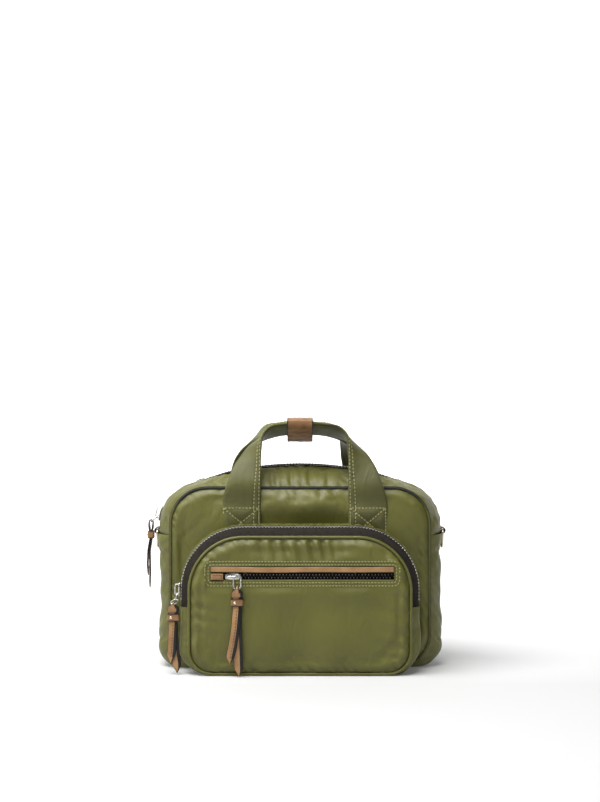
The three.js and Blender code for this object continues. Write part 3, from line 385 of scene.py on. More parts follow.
def grid_quads(rows, columns, closed_rows=False, closed_columns=False):
    index = np.arange(rows * columns).reshape(rows, columns)
    if closed_rows:
        index = np.vstack([index, index[:1]])
    if closed_columns:
        index = np.hstack([index, index[:, :1]])
    return np.stack([index[:-1, :-1], index[1:, :-1], index[1:, 1:], index[:-1, 1:]], -1).reshape(-1, 4)


def grid_normals(grid, closed_rows=False, closed_columns=False):
    """Unit normals of a grid: cross product of the differences along and across it."""
    def slope(axis, closed):
        if closed:
            return np.roll(grid, -1, axis) - np.roll(grid, 1, axis)
        return np.gradient(grid, axis=axis)
    cross = np.cross(slope(0, closed_rows), slope(1, closed_columns))
    return unit(cross)


def grid_lengths(grid):
    """For each vertex, the mean length along and across the grid up to it."""
    def running(axis):
        steps = np.linalg.norm(np.diff(grid, axis=axis), axis=-1).mean(1 - axis)
        return np.concatenate([[0], np.cumsum(steps)])
    along, across = running(0), running(1)
    return np.stack(np.meshgrid(along, across, indexing="ij"), -1)


def grid_mesh(name, grid, material, closed_rows=False, closed_columns=False, inward=None):
    """A mesh of a grid of points: a sheet that faces away from the point inward, or a closed shell."""
    rows, columns = grid.shape[:2]
    quads = grid_quads(rows, columns, closed_rows, closed_columns)
    if inward is not None:
        middle = (rows // 2, columns // 2)
        if np.dot(grid_normals(grid)[middle], np.asarray(inward) - grid[middle]) > 0:
            quads = quads[:, ::-1]
    piece = add_mesh(name, grid.reshape(-1, 3), quads, material, grid_lengths(grid).reshape(-1, 2))
    if closed_columns and inward is None:
        fix_outward(piece.data)
    return piece


def frames_along(path, closed, up):
    """Two unit sides of a path of points; the first is square to up and to the path."""
    tangent = unit(np.roll(path, -1, 0) - np.roll(path, 1, 0) if closed else np.gradient(path, axis=0))
    side = unit(np.cross(np.broadcast_to(up, tangent.shape), tangent))
    return side, np.cross(tangent, side)


def tube(name, path, radius, material, up=(0, 1, 0), closed=True, sides=16, twist=0.0, strands=0, depth=0.0):
    """A round cord: path + r (cos a side + sin a other). strands gives it grooves that turn along it."""
    side, other = frames_along(path, closed, up)
    angle = np.linspace(0, 2 * math.pi, sides, endpoint=False)
    length = path_lengths(path)
    grooves = np.abs(np.sin(0.5 * strands * angle[None, :] + twist * length[:, None])) if strands else 1
    reach = (radius - depth * (1 - grooves)) * np.ones((len(path), sides))
    grid = path[:, None] + reach[..., None] * (
        np.cos(angle)[None, :, None] * side[:, None] + np.sin(angle)[None, :, None] * other[:, None])
    uv = np.stack(np.meshgrid(length, angle * radius, indexing="ij"), -1).reshape(-1, 2)
    piece = add_mesh(name, grid.reshape(-1, 3), grid_quads(len(path), sides, closed, True), material, uv)
    for end in () if closed else (0, len(path) - 1):
        piece.data.vertices.add(1)
        piece.data.vertices[-1].co = path[end] * MM
        add_fan(piece.data, end * sides + np.arange(sides), len(piece.data.vertices) - 1)
    return piece


def add_fan(mesh, ring, centre):
    """Closes an end with triangles from its ring of corners to the middle."""
    loops, polygons = len(mesh.loops), len(mesh.polygons)
    corners = np.stack([ring, np.roll(ring, -1), np.full(len(ring), centre)], -1).ravel()
    mesh.loops.add(len(corners))
    mesh.polygons.add(len(ring))
    for k, corner in enumerate(corners.tolist()):
        mesh.loops[loops + k].vertex_index = corner
    for k in range(len(ring)):
        mesh.polygons[polygons + k].loop_start = loops + 3 * k
    mesh.update(calc_edges=True)


def ride(piece, body, slot, *replaced):
    """Fixes a piece to its body: body is a name, or (name, name, start, end), for which the piece is only
    baked in place and fixed to no body.
    """
    if isinstance(body, tuple):
        first, second, start, end = body
        tuple(v * MM for v in start)
        tuple(v * MM for v in end)
        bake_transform(piece)
    else:
        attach(piece, body)
    if replaced:
        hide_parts(*replaced)
    return piece


def box_faces():
    """Faces of a box whose eight corners are cut to three points each, numbered 3 corner + axis."""
    def number(axis, way, u, v, point):
        signs = [0, 0, 0]
        others = [k for k in range(3) if k != axis]
        signs[axis], signs[others[0]], signs[others[1]] = way, u, v
        return 3 * (4 * (signs[0] > 0) + 2 * (signs[1] > 0) + (signs[2] > 0)) + point
    quads = [[number(axis, way, u, v, axis) for u, v in ((-1, -1), (1, -1), (1, 1), (-1, 1))]
             for axis in range(3) for way in (-1, 1)]
    for axis in range(3):
        b, c = [k for k in range(3) if k != axis]
        quads += [[number(axis, way, u, v, point) for way, point in ((-1, b), (1, b), (1, c), (-1, c))]
                  for u in (-1, 1) for v in (-1, 1)]
    return np.array(quads), np.arange(24).reshape(8, 3)


def rounded_box(name, centres, frames, halves, material, soft):
    """Many boxes with cut corners as one mesh; the cut is soft times the least half size.

    centres is (n, 3), frames (n, 3, 3) with the axes as rows, and halves the half sizes in mm.
    """
    signs = np.array([[x, y, z] for x in (-1, 1) for y in (-1, 1) for z in (-1, 1)], float)
    halves = np.broadcast_to(np.asarray(halves, float), (len(centres), 3))
    cut = soft * halves.min(1)[:, None]
    points = np.zeros((len(centres), 24, 3))
    for corner, sign in enumerate(signs):
        for axis in range(3):
            others = [k for k in range(3) if k != axis]
            local = sign * halves
            local[:, others] -= sign[others] * cut
            points[:, 3 * corner + axis] = centres + np.einsum("ni,nij->nj", local, frames)
    first = (np.arange(len(centres)) * 24)[:, None, None]
    faces = []
    for part in box_faces():
        faces += (part[None] + first).reshape(-1, part.shape[1]).tolist()
    mesh = bpy.data.meshes.new(name)
    mesh.from_pydata((points.reshape(-1, 3) * MM).tolist(), [], faces)
    mesh.update()
    fix_outward(mesh)
    mesh.polygons.foreach_set("use_smooth", np.ones(len(mesh.polygons), bool))
    piece = link_piece(name, mesh, material)
    piece.modifiers.new("Normals", "WEIGHTED_NORMAL").keep_sharp = False
    return piece


def fix_outward(mesh):
    """Turns all faces of closed shells outward."""
    shell = bmesh.new()
    shell.from_mesh(mesh)
    bmesh.ops.recalc_face_normals(shell, faces=shell.faces)
    shell.to_mesh(mesh)
    shell.free()


# Materials

class Shader:
    """A material with a Principled surface; add() makes a node and links or sets its inputs."""

    def __init__(self, name, group=None):
        if group:
            self.tree = bpy.data.node_groups.new(name, "ShaderNodeTree")
            return
        self.material = bpy.data.materials.new(name)
        self.material.use_nodes = True
        self.tree = self.material.node_tree
        self.surface = self.tree.nodes["Principled BSDF"]

    def put(self, socket, value):
        if isinstance(value, bpy.types.NodeSocket):
            self.tree.links.new(value, socket)
        else:
            socket.default_value = value

    def add(self, kind, inputs=(), **settings):
        node = self.tree.nodes.new(kind)
        for key, value in settings.items():
            setattr(node, key, value)
        for key, value in dict(inputs).items():
            self.put(node.inputs[key], value)
        return node

    def place(self):
        """The piece's own coordinates."""
        return self.add("ShaderNodeTexCoord").outputs["Object"]

    def attribute(self, name):
        return self.add("ShaderNodeAttribute", attribute_name=name).outputs["Fac"]

    def woven(self):
        return self.add("ShaderNodeGroup", FINE_WEAVE, node_tree=WEAVE).outputs

    def finish(self, **values):
        for key, value in values.items():
            self.put(self.surface.inputs[key.replace("_", " ")], value)
        return self.material

    def mix(self, share, first, second, blend="MIX"):
        node = self.add("ShaderNodeMix", {0: share, 6: first, 7: second}, data_type="RGBA", blend_type=blend)
        return node.outputs[2]

    def math(self, operation, first, second=0.5):
        return self.add("ShaderNodeMath", {0: first, 1: second}, operation=operation).outputs[0]

    def noise(self, vector, scale, detail=3, distortion=0.0):
        node = self.add("ShaderNodeTexNoise", {
            "Vector": vector, "Scale": scale, "Detail": detail, "Distortion": distortion})
        return node.outputs["Fac"]

    def bump(self, height, strength, distance, normal=None):
        inputs = {"Height": height, "Strength": strength, "Distance": distance}
        if normal is not None:
            inputs["Normal"] = normal
        return self.add("ShaderNodeBump", inputs).outputs[0]

    def stretch(self, value, low, high, out_low=0.0, out_high=1.0):
        inputs = {"Value": value, "From Min": low, "From Max": high, "To Min": out_low, "To Max": out_high}
        return self.add("ShaderNodeMapRange", inputs).outputs[0]


def effect(name, inputs, outputs, build):
    """A shared node group: build(shader, given inputs) returns one socket for each name in outputs."""
    shader = Shader(name, group=True)
    for label in inputs:
        shader.tree.interface.new_socket(label, in_out="INPUT", socket_type="NodeSocketFloat")
    for label in outputs:
        shader.tree.interface.new_socket(label, in_out="OUTPUT", socket_type="NodeSocketFloat")
    given = shader.tree.nodes.new("NodeGroupInput").outputs
    end = shader.tree.nodes.new("NodeGroupOutput")
    for socket, value in zip(end.inputs, build(shader, given)):
        shader.tree.links.new(value, socket)
    return shader.tree


def satin_creases(shader, given):
    """Broad tone changes, and fine creases of a padded satin cloth, from the piece's own coordinates."""
    place = shader.place()
    tone = shader.noise(place, given["Tone scale"], 2)
    squeezed = shader.add("ShaderNodeMapping", {"Vector": place, "Scale": (1, 1, 0.45)}).outputs[0]
    coarse = shader.noise(squeezed, given["Crease scale"], 3, given["Crease twist"])
    fine = shader.noise(place, 190, 3, 0.8)
    return tone, shader.math("ADD", coarse, shader.math("MULTIPLY", fine, 0.22))


def weave(shader, given):
    """Plain weave over the piece's lengths: the product of two waves, and a slow change of tone."""
    lengths = shader.add("ShaderNodeUVMap", uv_map="Length").outputs[0]
    waves = {"Vector": lengths, "Scale": given["Thread scale"]}
    warp, weft = (shader.add("ShaderNodeTexWave", waves, bands_direction=way).outputs["Fac"] for way in "XY")
    return shader.math("MULTIPLY", warp, weft), shader.noise(lengths, given["Tone scale"], 2)


FINE_WEAVE = {"Thread scale": 0.7, "Tone scale": 0.3}
SOFT_CREASES = {"Tone scale": 22, "Crease scale": 60, "Crease twist": 1.6}
SATIN = effect("Satin creases", list(SOFT_CREASES), ["Tone", "Height"], satin_creases)
WEAVE = effect("Plain weave", list(FINE_WEAVE), ["Height", "Tone"], weave)


def nylon_material(name, light, dark, roughness=0.5):
    """Satin nylon: two olive tones, painted shade in creases, gathers and along seams from a per-vertex
    attribute, a faint sheen, and a crease and weave bump.
    """
    shader = Shader(name)
    creases = shader.add("ShaderNodeGroup", SOFT_CREASES, node_tree=SATIN).outputs
    woven = shader.woven()
    fold_shade = shader.attribute("Painted shade")
    tone = shader.stretch(creases["Tone"], 0.35, 0.65)
    colour = shader.mix(tone, dark, light)
    # Painted shade: towards 0.42 of the dark tone where the per-vertex shade is high.
    colour = shader.mix(shader.math("MULTIPLY", fold_shade, 0.8), colour, tuple(0.42 * v for v in dark[:3]) + (1,))
    normal = shader.bump(creases["Height"], 0.5, 0.0016)
    normal = shader.bump(woven["Height"], 0.4, 0.0001, normal)
    return shader.finish(
        Base_Color=colour, Roughness=roughness, Normal=normal, Sheen_Weight=0.08, Sheen_Roughness=0.4,
        Sheen_Tint=(0.85, 0.85, 0.72, 1), Specular_IOR_Level=0.55)


def cloth_material(name, colour, lighter, roughness=0.8, height=0.0002):
    """Matt cloth with a visible plain weave."""
    shader = Shader(name)
    woven = shader.woven()
    mixed = shader.mix(shader.stretch(woven["Tone"], 0.35, 0.65), colour, lighter)
    mixed = shader.mix(shader.math("MULTIPLY", woven["Height"], 0.35), mixed, lighter)
    normal = shader.bump(woven["Height"], 0.6, height)
    return shader.finish(Base_Color=mixed, Roughness=roughness, Normal=normal, Specular_IOR_Level=0.25)


def seam_material(name, weave_and_seam_shadow, green, low, high):
    """Piping cloth: green along the sides and base, and black along the upper seam as painted shadow of the
    sunk seam, by height in metres; the weave is darkened towards the same black.
    """
    shader = Shader(name)
    woven = shader.woven()
    place = shader.place()
    height = shader.add("ShaderNodeSeparateXYZ", {0: place}).outputs["Z"]
    # Painted shadow: the cord turns black between low and high, along the upper seam.
    colour = shader.mix(shader.stretch(height, low, high), green, weave_and_seam_shadow)
    colour = shader.mix(shader.math("MULTIPLY", woven["Height"], 0.25), colour, weave_and_seam_shadow)
    normal = shader.bump(woven["Height"], 0.6, 0.0002)
    return shader.finish(Base_Color=colour, Roughness=0.7, Normal=normal)


def metal_material(name, colour, roughness):
    """Polished metal with faint wear that changes its roughness."""
    shader = Shader(name)
    place = shader.place()
    wear = shader.noise(place, 300, 4)
    rough = shader.stretch(wear, 0.3, 0.7, roughness * 0.8, roughness * 1.5)
    normal = shader.bump(shader.noise(place, 900, 2), 0.12, 0.0001)
    return shader.finish(Base_Color=colour, Metallic=1.0, Roughness=rough, Normal=normal)


def leather_material(name, light, dark):
    """Smooth leather: two browns, pores, a grain bump, and dark paint where the attribute Paint is 1."""
    shader = Shader(name)
    place = shader.place()
    cloud = shader.stretch(shader.noise(place, 90, 3), 0.35, 0.65)
    cells = shader.add("ShaderNodeTexVoronoi", {"Vector": place, "Scale": 1500}).outputs["Distance"]
    pores = shader.stretch(shader.noise(place, 1200, 2), 0.6, 0.75)
    colour = shader.mix(cloud, dark, light)
    colour = shader.mix(shader.math("MULTIPLY", pores, 0.3), colour, dark)
    edge = shader.attribute("Paint")
    colour = shader.mix(shader.stretch(edge, 0.4, 0.6), colour, (0.006, 0.005, 0.005, 1))
    rough = shader.stretch(cloud, 0, 1, 0.5, 0.38)
    grain = shader.bump(cells, 0.3, 0.00012)
    return shader.finish(Base_Color=colour, Roughness=rough, Normal=grain, Specular_IOR_Level=0.4)


def thread_material(name, colour, dark):
    """Twisted sewing thread: fine slanted bands along its lengths."""
    shader = Shader(name)
    place = shader.place()
    bands = {"Vector": place, "Scale": 900}
    twist = shader.add("ShaderNodeTexWave", bands, bands_direction="DIAGONAL").outputs["Fac"]
    return shader.finish(
        Base_Color=shader.mix(twist, dark, colour), Roughness=0.55, Normal=shader.bump(twist, 0.4, 0.0001))


NYLON = nylon_material("Nylon", (0.099, 0.097, 0.010, 1), (0.084, 0.083, 0.007, 1))
# The handles' satin is the bag's nylon darkened: painted shade.
SHADED_STRAP_NYLON = nylon_material("Strap nylon in painted shade", (0.074, 0.073, 0.009, 1), (0.052, 0.051, 0.005, 1), 0.6)
# Black above 0.136 to 0.150 m: painted shadow along the sunk upper seam.
PIPING_SEAM_SHADOW = seam_material("Piping with painted seam shadow", (0.006, 0.006, 0.004, 1), (0.082, 0.080, 0.016, 1), 0.136, 0.150)
TAPE = cloth_material("Zip tape", (0.009, 0.0065, 0.004, 1), (0.017, 0.0125, 0.008, 1))
BLACK_TAPE = cloth_material("Welt tape", (0.004, 0.0035, 0.003, 1), (0.010, 0.009, 0.007, 1))
LINING = cloth_material("Lining", (0.03, 0.028, 0.02, 1), (0.05, 0.047, 0.035, 1))
BOARD = cloth_material("Base board", (0.02, 0.02, 0.02, 1), (0.035, 0.035, 0.03, 1))
STEEL = metal_material("Nickel", (0.60, 0.59, 0.56, 1), 0.24)
DARK_METAL = metal_material("Dark teeth metal", (0.035, 0.034, 0.032, 1), 0.4)
TEETH = metal_material("Teeth metal", (0.46, 0.44, 0.40, 1), 0.32)
GOLD = metal_material("Pale gold", (0.80, 0.72, 0.56, 1), 0.17)
LEATHER = leather_material("Tan leather", (0.36, 0.205, 0.088, 1), (0.26, 0.140, 0.056, 1))
BROWN_LEATHER = leather_material("Brown leather", (0.25, 0.130, 0.052, 1), (0.17, 0.085, 0.032, 1))
THREAD = thread_material("Light olive thread", (0.36, 0.35, 0.14, 1), (0.20, 0.19, 0.065, 1))
BROWN_THREAD = thread_material("Brown thread", (0.10, 0.055, 0.026, 1), (0.05, 0.028, 0.014, 1))

STRAP_STITCH = {"pitch": 3.3, "length": 2.1, "material": THREAD}
BOX_STITCH = {"pitch": 3.0, "length": 1.9, "material": THREAD}
TOP_STITCH = {"pitch": 2.8, "length": 1.8, "material": THREAD, "width": 0.4}
TAB_STITCH = {"pitch": 2.3, "length": 2.3 * 0.66, "material": BROWN_THREAD, "width": 0.32}
PULL_STITCH = {"pitch": 2.6, "length": 1.5, "material": BROWN_THREAD, "width": 0.3, "lift": 0.05}


def paint(piece, name, values):
    """Stores one number for each vertex, read by the material's Attribute node."""
    layer = piece.data.attributes.new(name, "FLOAT", "POINT")
    layer.data.foreach_set("value", np.asarray(values, np.float32).ravel())
    return piece


# Padded cloth

CLOTH_FRAMES = 14
CLOTH_STIFFNESS = 8.0
CLOTH_MASS = 0.15
CLOTH_BENDING = 0.05
PANEL_GROWTH = 0.035
BAND_GROWTH = 0.03
CLOTH_STEP = 4.5
REFINED = 4
GATHER_PITCH = 10.5
GATHER_REACH = 9
GATHER_DEPTH = 0.9
FOLD_LENGTH = 46
FOLD_DEPTH = 0.75
BAND_GATHER_REACH = 6
BAND_FOLD_LENGTH = 30


def simulate(grid, pressure, growth):
    """Blows a grid of points up as cloth that is pinned along its edges, and returns the moved grid.

    The cloth is cut larger than its frame by growth, so it settles into folds between the pinned edges.
    """
    piece = add_mesh("Cloth under test", grid.reshape(-1, 3), grid_quads(*grid.shape[:2]), LINING)
    pins = piece.vertex_groups.new(name="Pinned")
    pins.add(np.flatnonzero(edge_mask(grid.shape).ravel()).tolist(), 1.0, "REPLACE")
    cloth = piece.modifiers.new("Cloth", "CLOTH")
    cloth.settings.vertex_group_mass = "Pinned"
    cloth.settings.quality = 6
    cloth.settings.mass = CLOTH_MASS
    cloth.settings.tension_stiffness = CLOTH_STIFFNESS
    cloth.settings.compression_stiffness = CLOTH_STIFFNESS
    cloth.settings.shear_stiffness = CLOTH_STIFFNESS / 2
    cloth.settings.bending_stiffness = CLOTH_BENDING
    cloth.settings.shrink_min = -growth
    cloth.settings.use_pressure = True
    cloth.settings.uniform_pressure_force = pressure
    cloth.settings.effector_weights.gravity = 0
    cloth.collision_settings.use_collision = False
    cloth.point_cache.frame_start = 1
    cloth.point_cache.frame_end = CLOTH_FRAMES
    scene = bpy.context.scene
    for number in range(1, CLOTH_FRAMES + 1):
        scene.frame_set(number)
    shape = piece.evaluated_get(bpy.context.evaluated_depsgraph_get()).to_mesh()
    points = np.empty(len(shape.vertices) * 3)
    shape.vertices.foreach_get("co", points)
    mesh = piece.data
    bpy.data.objects.remove(piece)
    bpy.data.meshes.remove(mesh)
    scene.frame_set(1)
    return points.reshape(grid.shape) / MM


def finer(grid, times):
    """A grid with times as many steps each way, by cubic interpolation along each axis in turn."""
    for axis in (0, 1):
        count = grid.shape[axis]
        place = np.linspace(0, count - 1, (count - 1) * times + 1)
        low = np.clip(place.astype(int), 0, count - 2)
        share = place - low
        moved = np.moveaxis(grid, axis, 0)
        a, b, c, d = (moved[np.clip(low + k, 0, count - 1)] for k in (-1, 0, 1, 2))
        s = share.reshape((-1,) + (1,) * (grid.ndim - 1))
        cubic = b + 0.5 * s * (c - a + s * (2 * a - 5 * b + 4 * c - d + s * (3 * (b - c) + d - a)))
        grid = np.moveaxis(cubic, 0, axis)
    return grid


def cap(moved, rest, limit):
    """Keeps each simulated point within limit of its place at rest: step * limit / (limit + |step|)."""
    step = moved - rest
    length = np.linalg.norm(step, axis=-1, keepdims=True)
    return rest + step * limit / (limit + length)


def edge_mask(shape):
    mask = np.zeros(shape[:2], bool)
    mask[[0, -1]] = True
    mask[:, [0, -1]] = True
    return mask


def pad_grid(outline, inset, step):
    """A square grid laid over a panel, ring by ring: C + r (O(s) - C), with r = max(|u|, |v|).

    Returns the flat points (rows, columns, 2) and their distance from the outline.
    """
    starts = outline.starts()
    a, b, c, d = np.interp((1.5, 3.5, 5.5, 7.5), np.arange(len(starts)), starts).tolist()
    width = outline.place(np.linspace(0, 9, 400))[0]
    centre = (width.max(0) + width.min(0)) / 2
    size = width.max(0) - width.min(0)
    u, v = np.meshgrid(*(np.linspace(-1, 1, 2 * int(side / step / 2) + 1) for side in size), indexing="ij")
    r = np.maximum(np.abs(u), np.abs(v))
    safe = np.maximum(r, 1e-9)
    total = outline.length
    left = a + (b - a) * (v / safe + 1) / 2
    top = b + (c - b) * (u / safe + 1) / 2
    right = c + (d - c) * (1 - v / safe) / 2
    bottom = (d + (total + a - d) * (1 - u / safe) / 2) % total
    s = np.where(np.abs(u) >= np.abs(v), np.where(u < 0, left, right), np.where(v > 0, top, bottom))
    points, outs = outline.place(outline.count(s.ravel()))
    rim = (points - outs * inset).reshape(u.shape + (2,))
    flat = centre + r[..., None] * (rim - centre)
    return flat, (1 - r) * np.linalg.norm(rim - centre, axis=-1)


def pad_surface(outline, inset, face_y, roll, sign, pressure, seed, swell, limit):
    """The face of a padded panel: rolled over at its seam, blown up as cloth, then gathered there."""
    flat, gap = pad_grid(outline, inset, CLOTH_STEP)
    rise = roll * np.sqrt(np.clip(1 - (1 - np.clip(gap / roll, 0, 1)) ** 2, 0, 1))
    span = swell * np.clip(gap / 40, 0, 1) ** 0.6
    y = sign * (face_y - roll + rise + span)
    grid = np.stack([flat[..., 0], y, flat[..., 1]], -1)
    moved = cap(simulate(grid, pressure * -sign, PANEL_GROWTH), grid, limit)
    fine = finer(moved, REFINED)
    gap_fine = finer(gap[..., None], REFINED)[..., 0]
    place = fine * [1, 0, 1]
    near = np.exp(-gap_fine / GATHER_REACH)
    gathers = puckers(fine[..., 0] + fine[..., 2] * 0.83, GATHER_PITCH, seed)
    gather = gathers * near * np.clip(gap_fine / 1.5, 0, 1)
    broad = ripple(place, FOLD_LENGTH, seed + 5) * np.clip(gap_fine / 14, 0, 1)
    fine[..., 1] += sign * (GATHER_DEPTH * gather + FOLD_DEPTH * broad)
    # Painted shade: darker in the gathers' hollows and within a few mm of the seam.
    shade = np.clip(-0.5 * gather * near + 0.5 * np.exp(-gap_fine / 1.6), 0, 1)
    return fine, shade, gap_fine


def cloth_piece(name, grid, shade, material, body, slot, *replaced, inward=(0, 0, 80), fill=0.6, pad=True):
    piece = grid_mesh(name, grid, material, inward=inward)
    paint(piece, "Painted shade", shade)
    return ride(piece, body, slot, *replaced)


def bulge(t):
    return np.where(t < 1, t + CROWN_SHARE * t * (1 - t), 1)


def main_share(y):
    return bulge((EDGE_Y - np.abs(y)) / (EDGE_Y - ZIP_FLAT))


def band_grid(first, second, t, y, share):
    """Points between two matched tracks: a + (b - a) share(y), at the depth y."""
    a, b = first.place(t)[0], second.place(t)[0]
    flat = a[:, None] + (b - a)[:, None] * share(y)[None, :, None]
    depth = np.broadcast_to(y, flat.shape[:2])
    return np.stack([flat[..., 0], depth, flat[..., 1]], -1)


def band_surface(grid, pressure, seed, gather_pitch, gather, limit, broad=0.5):
    """A padded strip: blown up as cloth, gathered along both long seams, with broad folds across."""
    moved = cap(simulate(grid, pressure, BAND_GROWTH), grid, limit)
    fine = finer(moved, REFINED)
    normals = grid_normals(fine)
    out = np.sign((normals * (fine - fine.mean((0, 1)))).sum(-1).mean())
    lengths = grid_lengths(fine)
    width = lengths[0, -1, 1]
    first, last = lengths[..., 1], width - lengths[..., 1]
    along = lengths[..., 0]
    near = np.exp(-first / BAND_GATHER_REACH) + np.exp(-last / BAND_GATHER_REACH)
    edge = np.clip(np.minimum(first, last) / 1.2, 0, 1)
    gathers = puckers(along + 0.25 * first, gather_pitch, seed) * near * edge
    folds = ripple(fine * [1, 0.45, 1], BAND_FOLD_LENGTH, seed + 3)
    soft = folds * edge * np.clip(np.minimum(first, last) / 7, 0, 1)
    fine = fine + (out * normals) * (gather * gathers + broad * soft)[..., None]
    # Painted shade: darker in the gathers' hollows and within a few mm of both long seams.
    shade = np.clip(-0.5 * gathers + 0.45 * (np.exp(-first / 1.5) + np.exp(-last / 1.5)), 0, 1)
    return fine, shade


def upper_swell(grid):
    """The padding above the pocket: between the handles it is pushed up, and falls in below that.

    Beside the handles it stands out lower and wider. Each of the three is a height of exp(-(z / width)^2).
    """
    x, z = grid[..., 0], grid[..., 2]
    inner = np.clip(1 - (np.abs(x - HANDLE_CENTRE) / UPPER_PAD_HALF) ** 6, 0, 1)
    beside = 1 / (1 + np.exp(-(np.abs(x - HANDLE_CENTRE) - BESIDE_HANDLES) / 5))
    middle = UPPER_PAD * hump(z, UPPER_PAD_HEIGHT, 9) - SIDE_PAD * hump(z, UPPER_DIP_HEIGHT, 8)
    return inner * (middle * (1 - beside) + SIDE_PAD * hump(z, SIDE_PAD_HEIGHT, 17) * beside)


def build_panels():
    for name, sign, seed in (("front_panel", -1, 3), ("back_panel", 1, 31)):
        grid, shade, _ = pad_surface(
            SEAM, 0.5 * PIPING_INSET, PANEL_FACE, roll=2.4, sign=sign, pressure=3.0, seed=seed,
            swell=0.6, limit=1.5)
        grid[..., 1] += sign * upper_swell(grid)
        cloth_piece(name + "_cloth", grid, shade, NYLON, "bag", "nylon", name)


def build_lower_gusset():
    t = SEAM_UNDER.spread(4.0)
    y = np.linspace(-EDGE_Y, EDGE_Y, 15)
    grid = band_grid(SEAM_UNDER, BELLY, t, y, lambda depth: 1 - np.clip((np.abs(depth) - BASE_HALF) / (
        EDGE_Y - BASE_HALF), 0, 1) ** 2)
    fine, shade = band_surface(grid, 0.8, 61, 10, 0.5, limit=1.6)
    slack = np.sin(math.pi * np.clip((fine[..., 2] - 8) / 100, 0, 1))
    x = fine[..., 0]
    fine[..., 0] = x - SIDE_SLACK * slack * np.clip(x / 100, -1, 1) ** 3 * np.where(x < 0, 1, 0.5)
    fine[..., 2] = np.maximum(fine[..., 2], 0.0)
    cloth_piece("lower_gusset_cloth", fine, shade, NYLON, "bag", "nylon", "lower_gusset")


def lip_rows(track, half, step):
    """Piece counts along an arch that hit x = -half and x = half exactly, and the shares where they fall."""
    probe = np.linspace(0, track.length, 4000)
    x = track.place(track.count(probe))[0][:, 0]
    first, last = np.interp([-half, half], x, probe)
    counts = [int(round(part / step / 2)) * 2 for part in (first, last - first, track.length - last)]
    marks = [0, first, last, track.length]
    s = np.concatenate([np.linspace(marks[k], marks[k + 1], counts[k] + 1)[int(k > 0):] for k in range(3)])
    return track.count(s), counts


def split_band(name, grid, shade, counts, times, parts, material, slot, pad=True):
    """Cuts a strip at its lip's two ends, and gives each part its body and the CAD node it stands for."""
    starts = np.concatenate([[0], np.cumsum(counts)]) * times
    for k, (label, body, node) in enumerate(parts):
        rows = slice(starts[k], starts[k + 1] + 1)
        cloth_piece(f"{name}_{label}", grid[rows], shade[rows], material, body, slot, *node, pad=pad)


def side_parts(stem, side, lip_node):
    """Label, body and CAD nodes of a strip's three parts; only the front strip's ends stand for nodes."""
    left, right = ([f"{stem}_{end}"] if side == "front" else [] for end in ("left", "right"))
    return [("left", "bag", left), ("lip", f"mouth_{side}_lip", [lip_node]), ("right", "bag", right)]


def build_top_gusset():
    t, counts = lip_rows(RIDGE, LIP_HALF, 4.0)
    for sign, side, seed in ((-1, "front", 71), (1, "back", 87)):
        y = sign * np.linspace(EDGE_Y, TAPE_HALF + 0.3, 9)
        grid = band_grid(ARCH, RIDGE, t, y, main_share)
        fine, shade = band_surface(grid, 1.2 * -sign, seed, 10, 0.55, limit=2.2)
        parts = side_parts("top_gusset", side, f"{side}_lip")
        split_band(f"top_gusset_{side}", fine, shade, counts, REFINED, parts, NYLON, "nylon")


def stitches(name, path, normal, pitch, length, material, width=0.42, lift=0.15):
    """Sewn stitches along a line: one small rounded bar at each pitch, a little above the cloth."""
    s = path_lengths(path)
    places = np.arange(pitch / 2, s[-1], pitch)
    centres = read_along(places, s, path)
    along = unit(read_along(places + pitch / 4, s, path) - read_along(places - pitch / 4, s, path))
    up = read_along(places, s, np.broadcast_to(np.asarray(normal, float), path.shape))
    up = unit(up - (up * along).sum(-1, keepdims=True) * along)
    frames = np.stack([along, np.cross(up, along), up], 1)
    return rounded_box(name, centres + up * lift, frames, (length / 2, width, 0.34), material, 0.5)


def lay_on(path, surface, lift):
    """Moves each point of a path in depth onto the nearest point of a surface seen from the front."""
    flat = surface.reshape(-1, 3)
    gap = (path[:, None, 0] - flat[None, :, 0]) ** 2 + (path[:, None, 2] - flat[None, :, 2]) ** 2
    path = path.copy()
    path[:, 1] = flat[gap.argmin(1), 1] - lift
    return path


def build_piping():
    loop = SEAM.place(SEAM.spread(0.9)[:-1])[0]
    for name, y in (("front_piping", -SEAM_Y), ("back_piping", SEAM_Y)):
        path = stood(loop, y) + [0, math.copysign(0.7, -y), 0]
        cord = tube(name + "_cord", path, 1.0, PIPING_SEAM_SHADOW, sides=14, twist=0.55, strands=2, depth=0.16)
        ride(cord, "bag", "piping_cloth", name)
        # A near-black cord at the seam allowance, behind the piping: painted shade inside the seam.
        path = path + [0, math.copysign(2.1, -y), 0]
        ride(tube(name + "_seam_allowance_in_shadow", path, 1.5, BLACK_TAPE, sides=12), "bag", "piping_cloth")


# Zips

def zip_teeth(name, at, s, side, body, slot, *replaced, outer=TOOTH_OUTER - 1.0, length=TOOTH_LENGTH):
    """One row of teeth: a bar across the slot and a bead on the tape for each s."""
    along = unit(at(s + 0.1, 0 * s, 0) - at(s - 0.1, 0 * s, 0))
    up = unit(at(s, 0 * s, 1.0) - at(s, 0 * s, 0))
    frames = np.stack([along, np.cross(up, along), up], 1)
    centre = at(s, np.full(len(s), side * (outer - TOOTH_TIP) / 2), 0)
    bar = (length / 2, (outer + TOOTH_TIP) / 2, TOOTH_HALF_HEIGHT * 0.7)
    bead = (length * 0.62, 0.5, TOOTH_HALF_HEIGHT)
    bars = rounded_box(name, centre, frames, bar, DARK_METAL, 0.5)
    beads = rounded_box(name + "_beads", at(s, np.full(len(s), side * outer), 0), frames, bead, TEETH, 0.6)
    ride(beads, body, slot)
    return ride(bars, body, slot, *replaced)


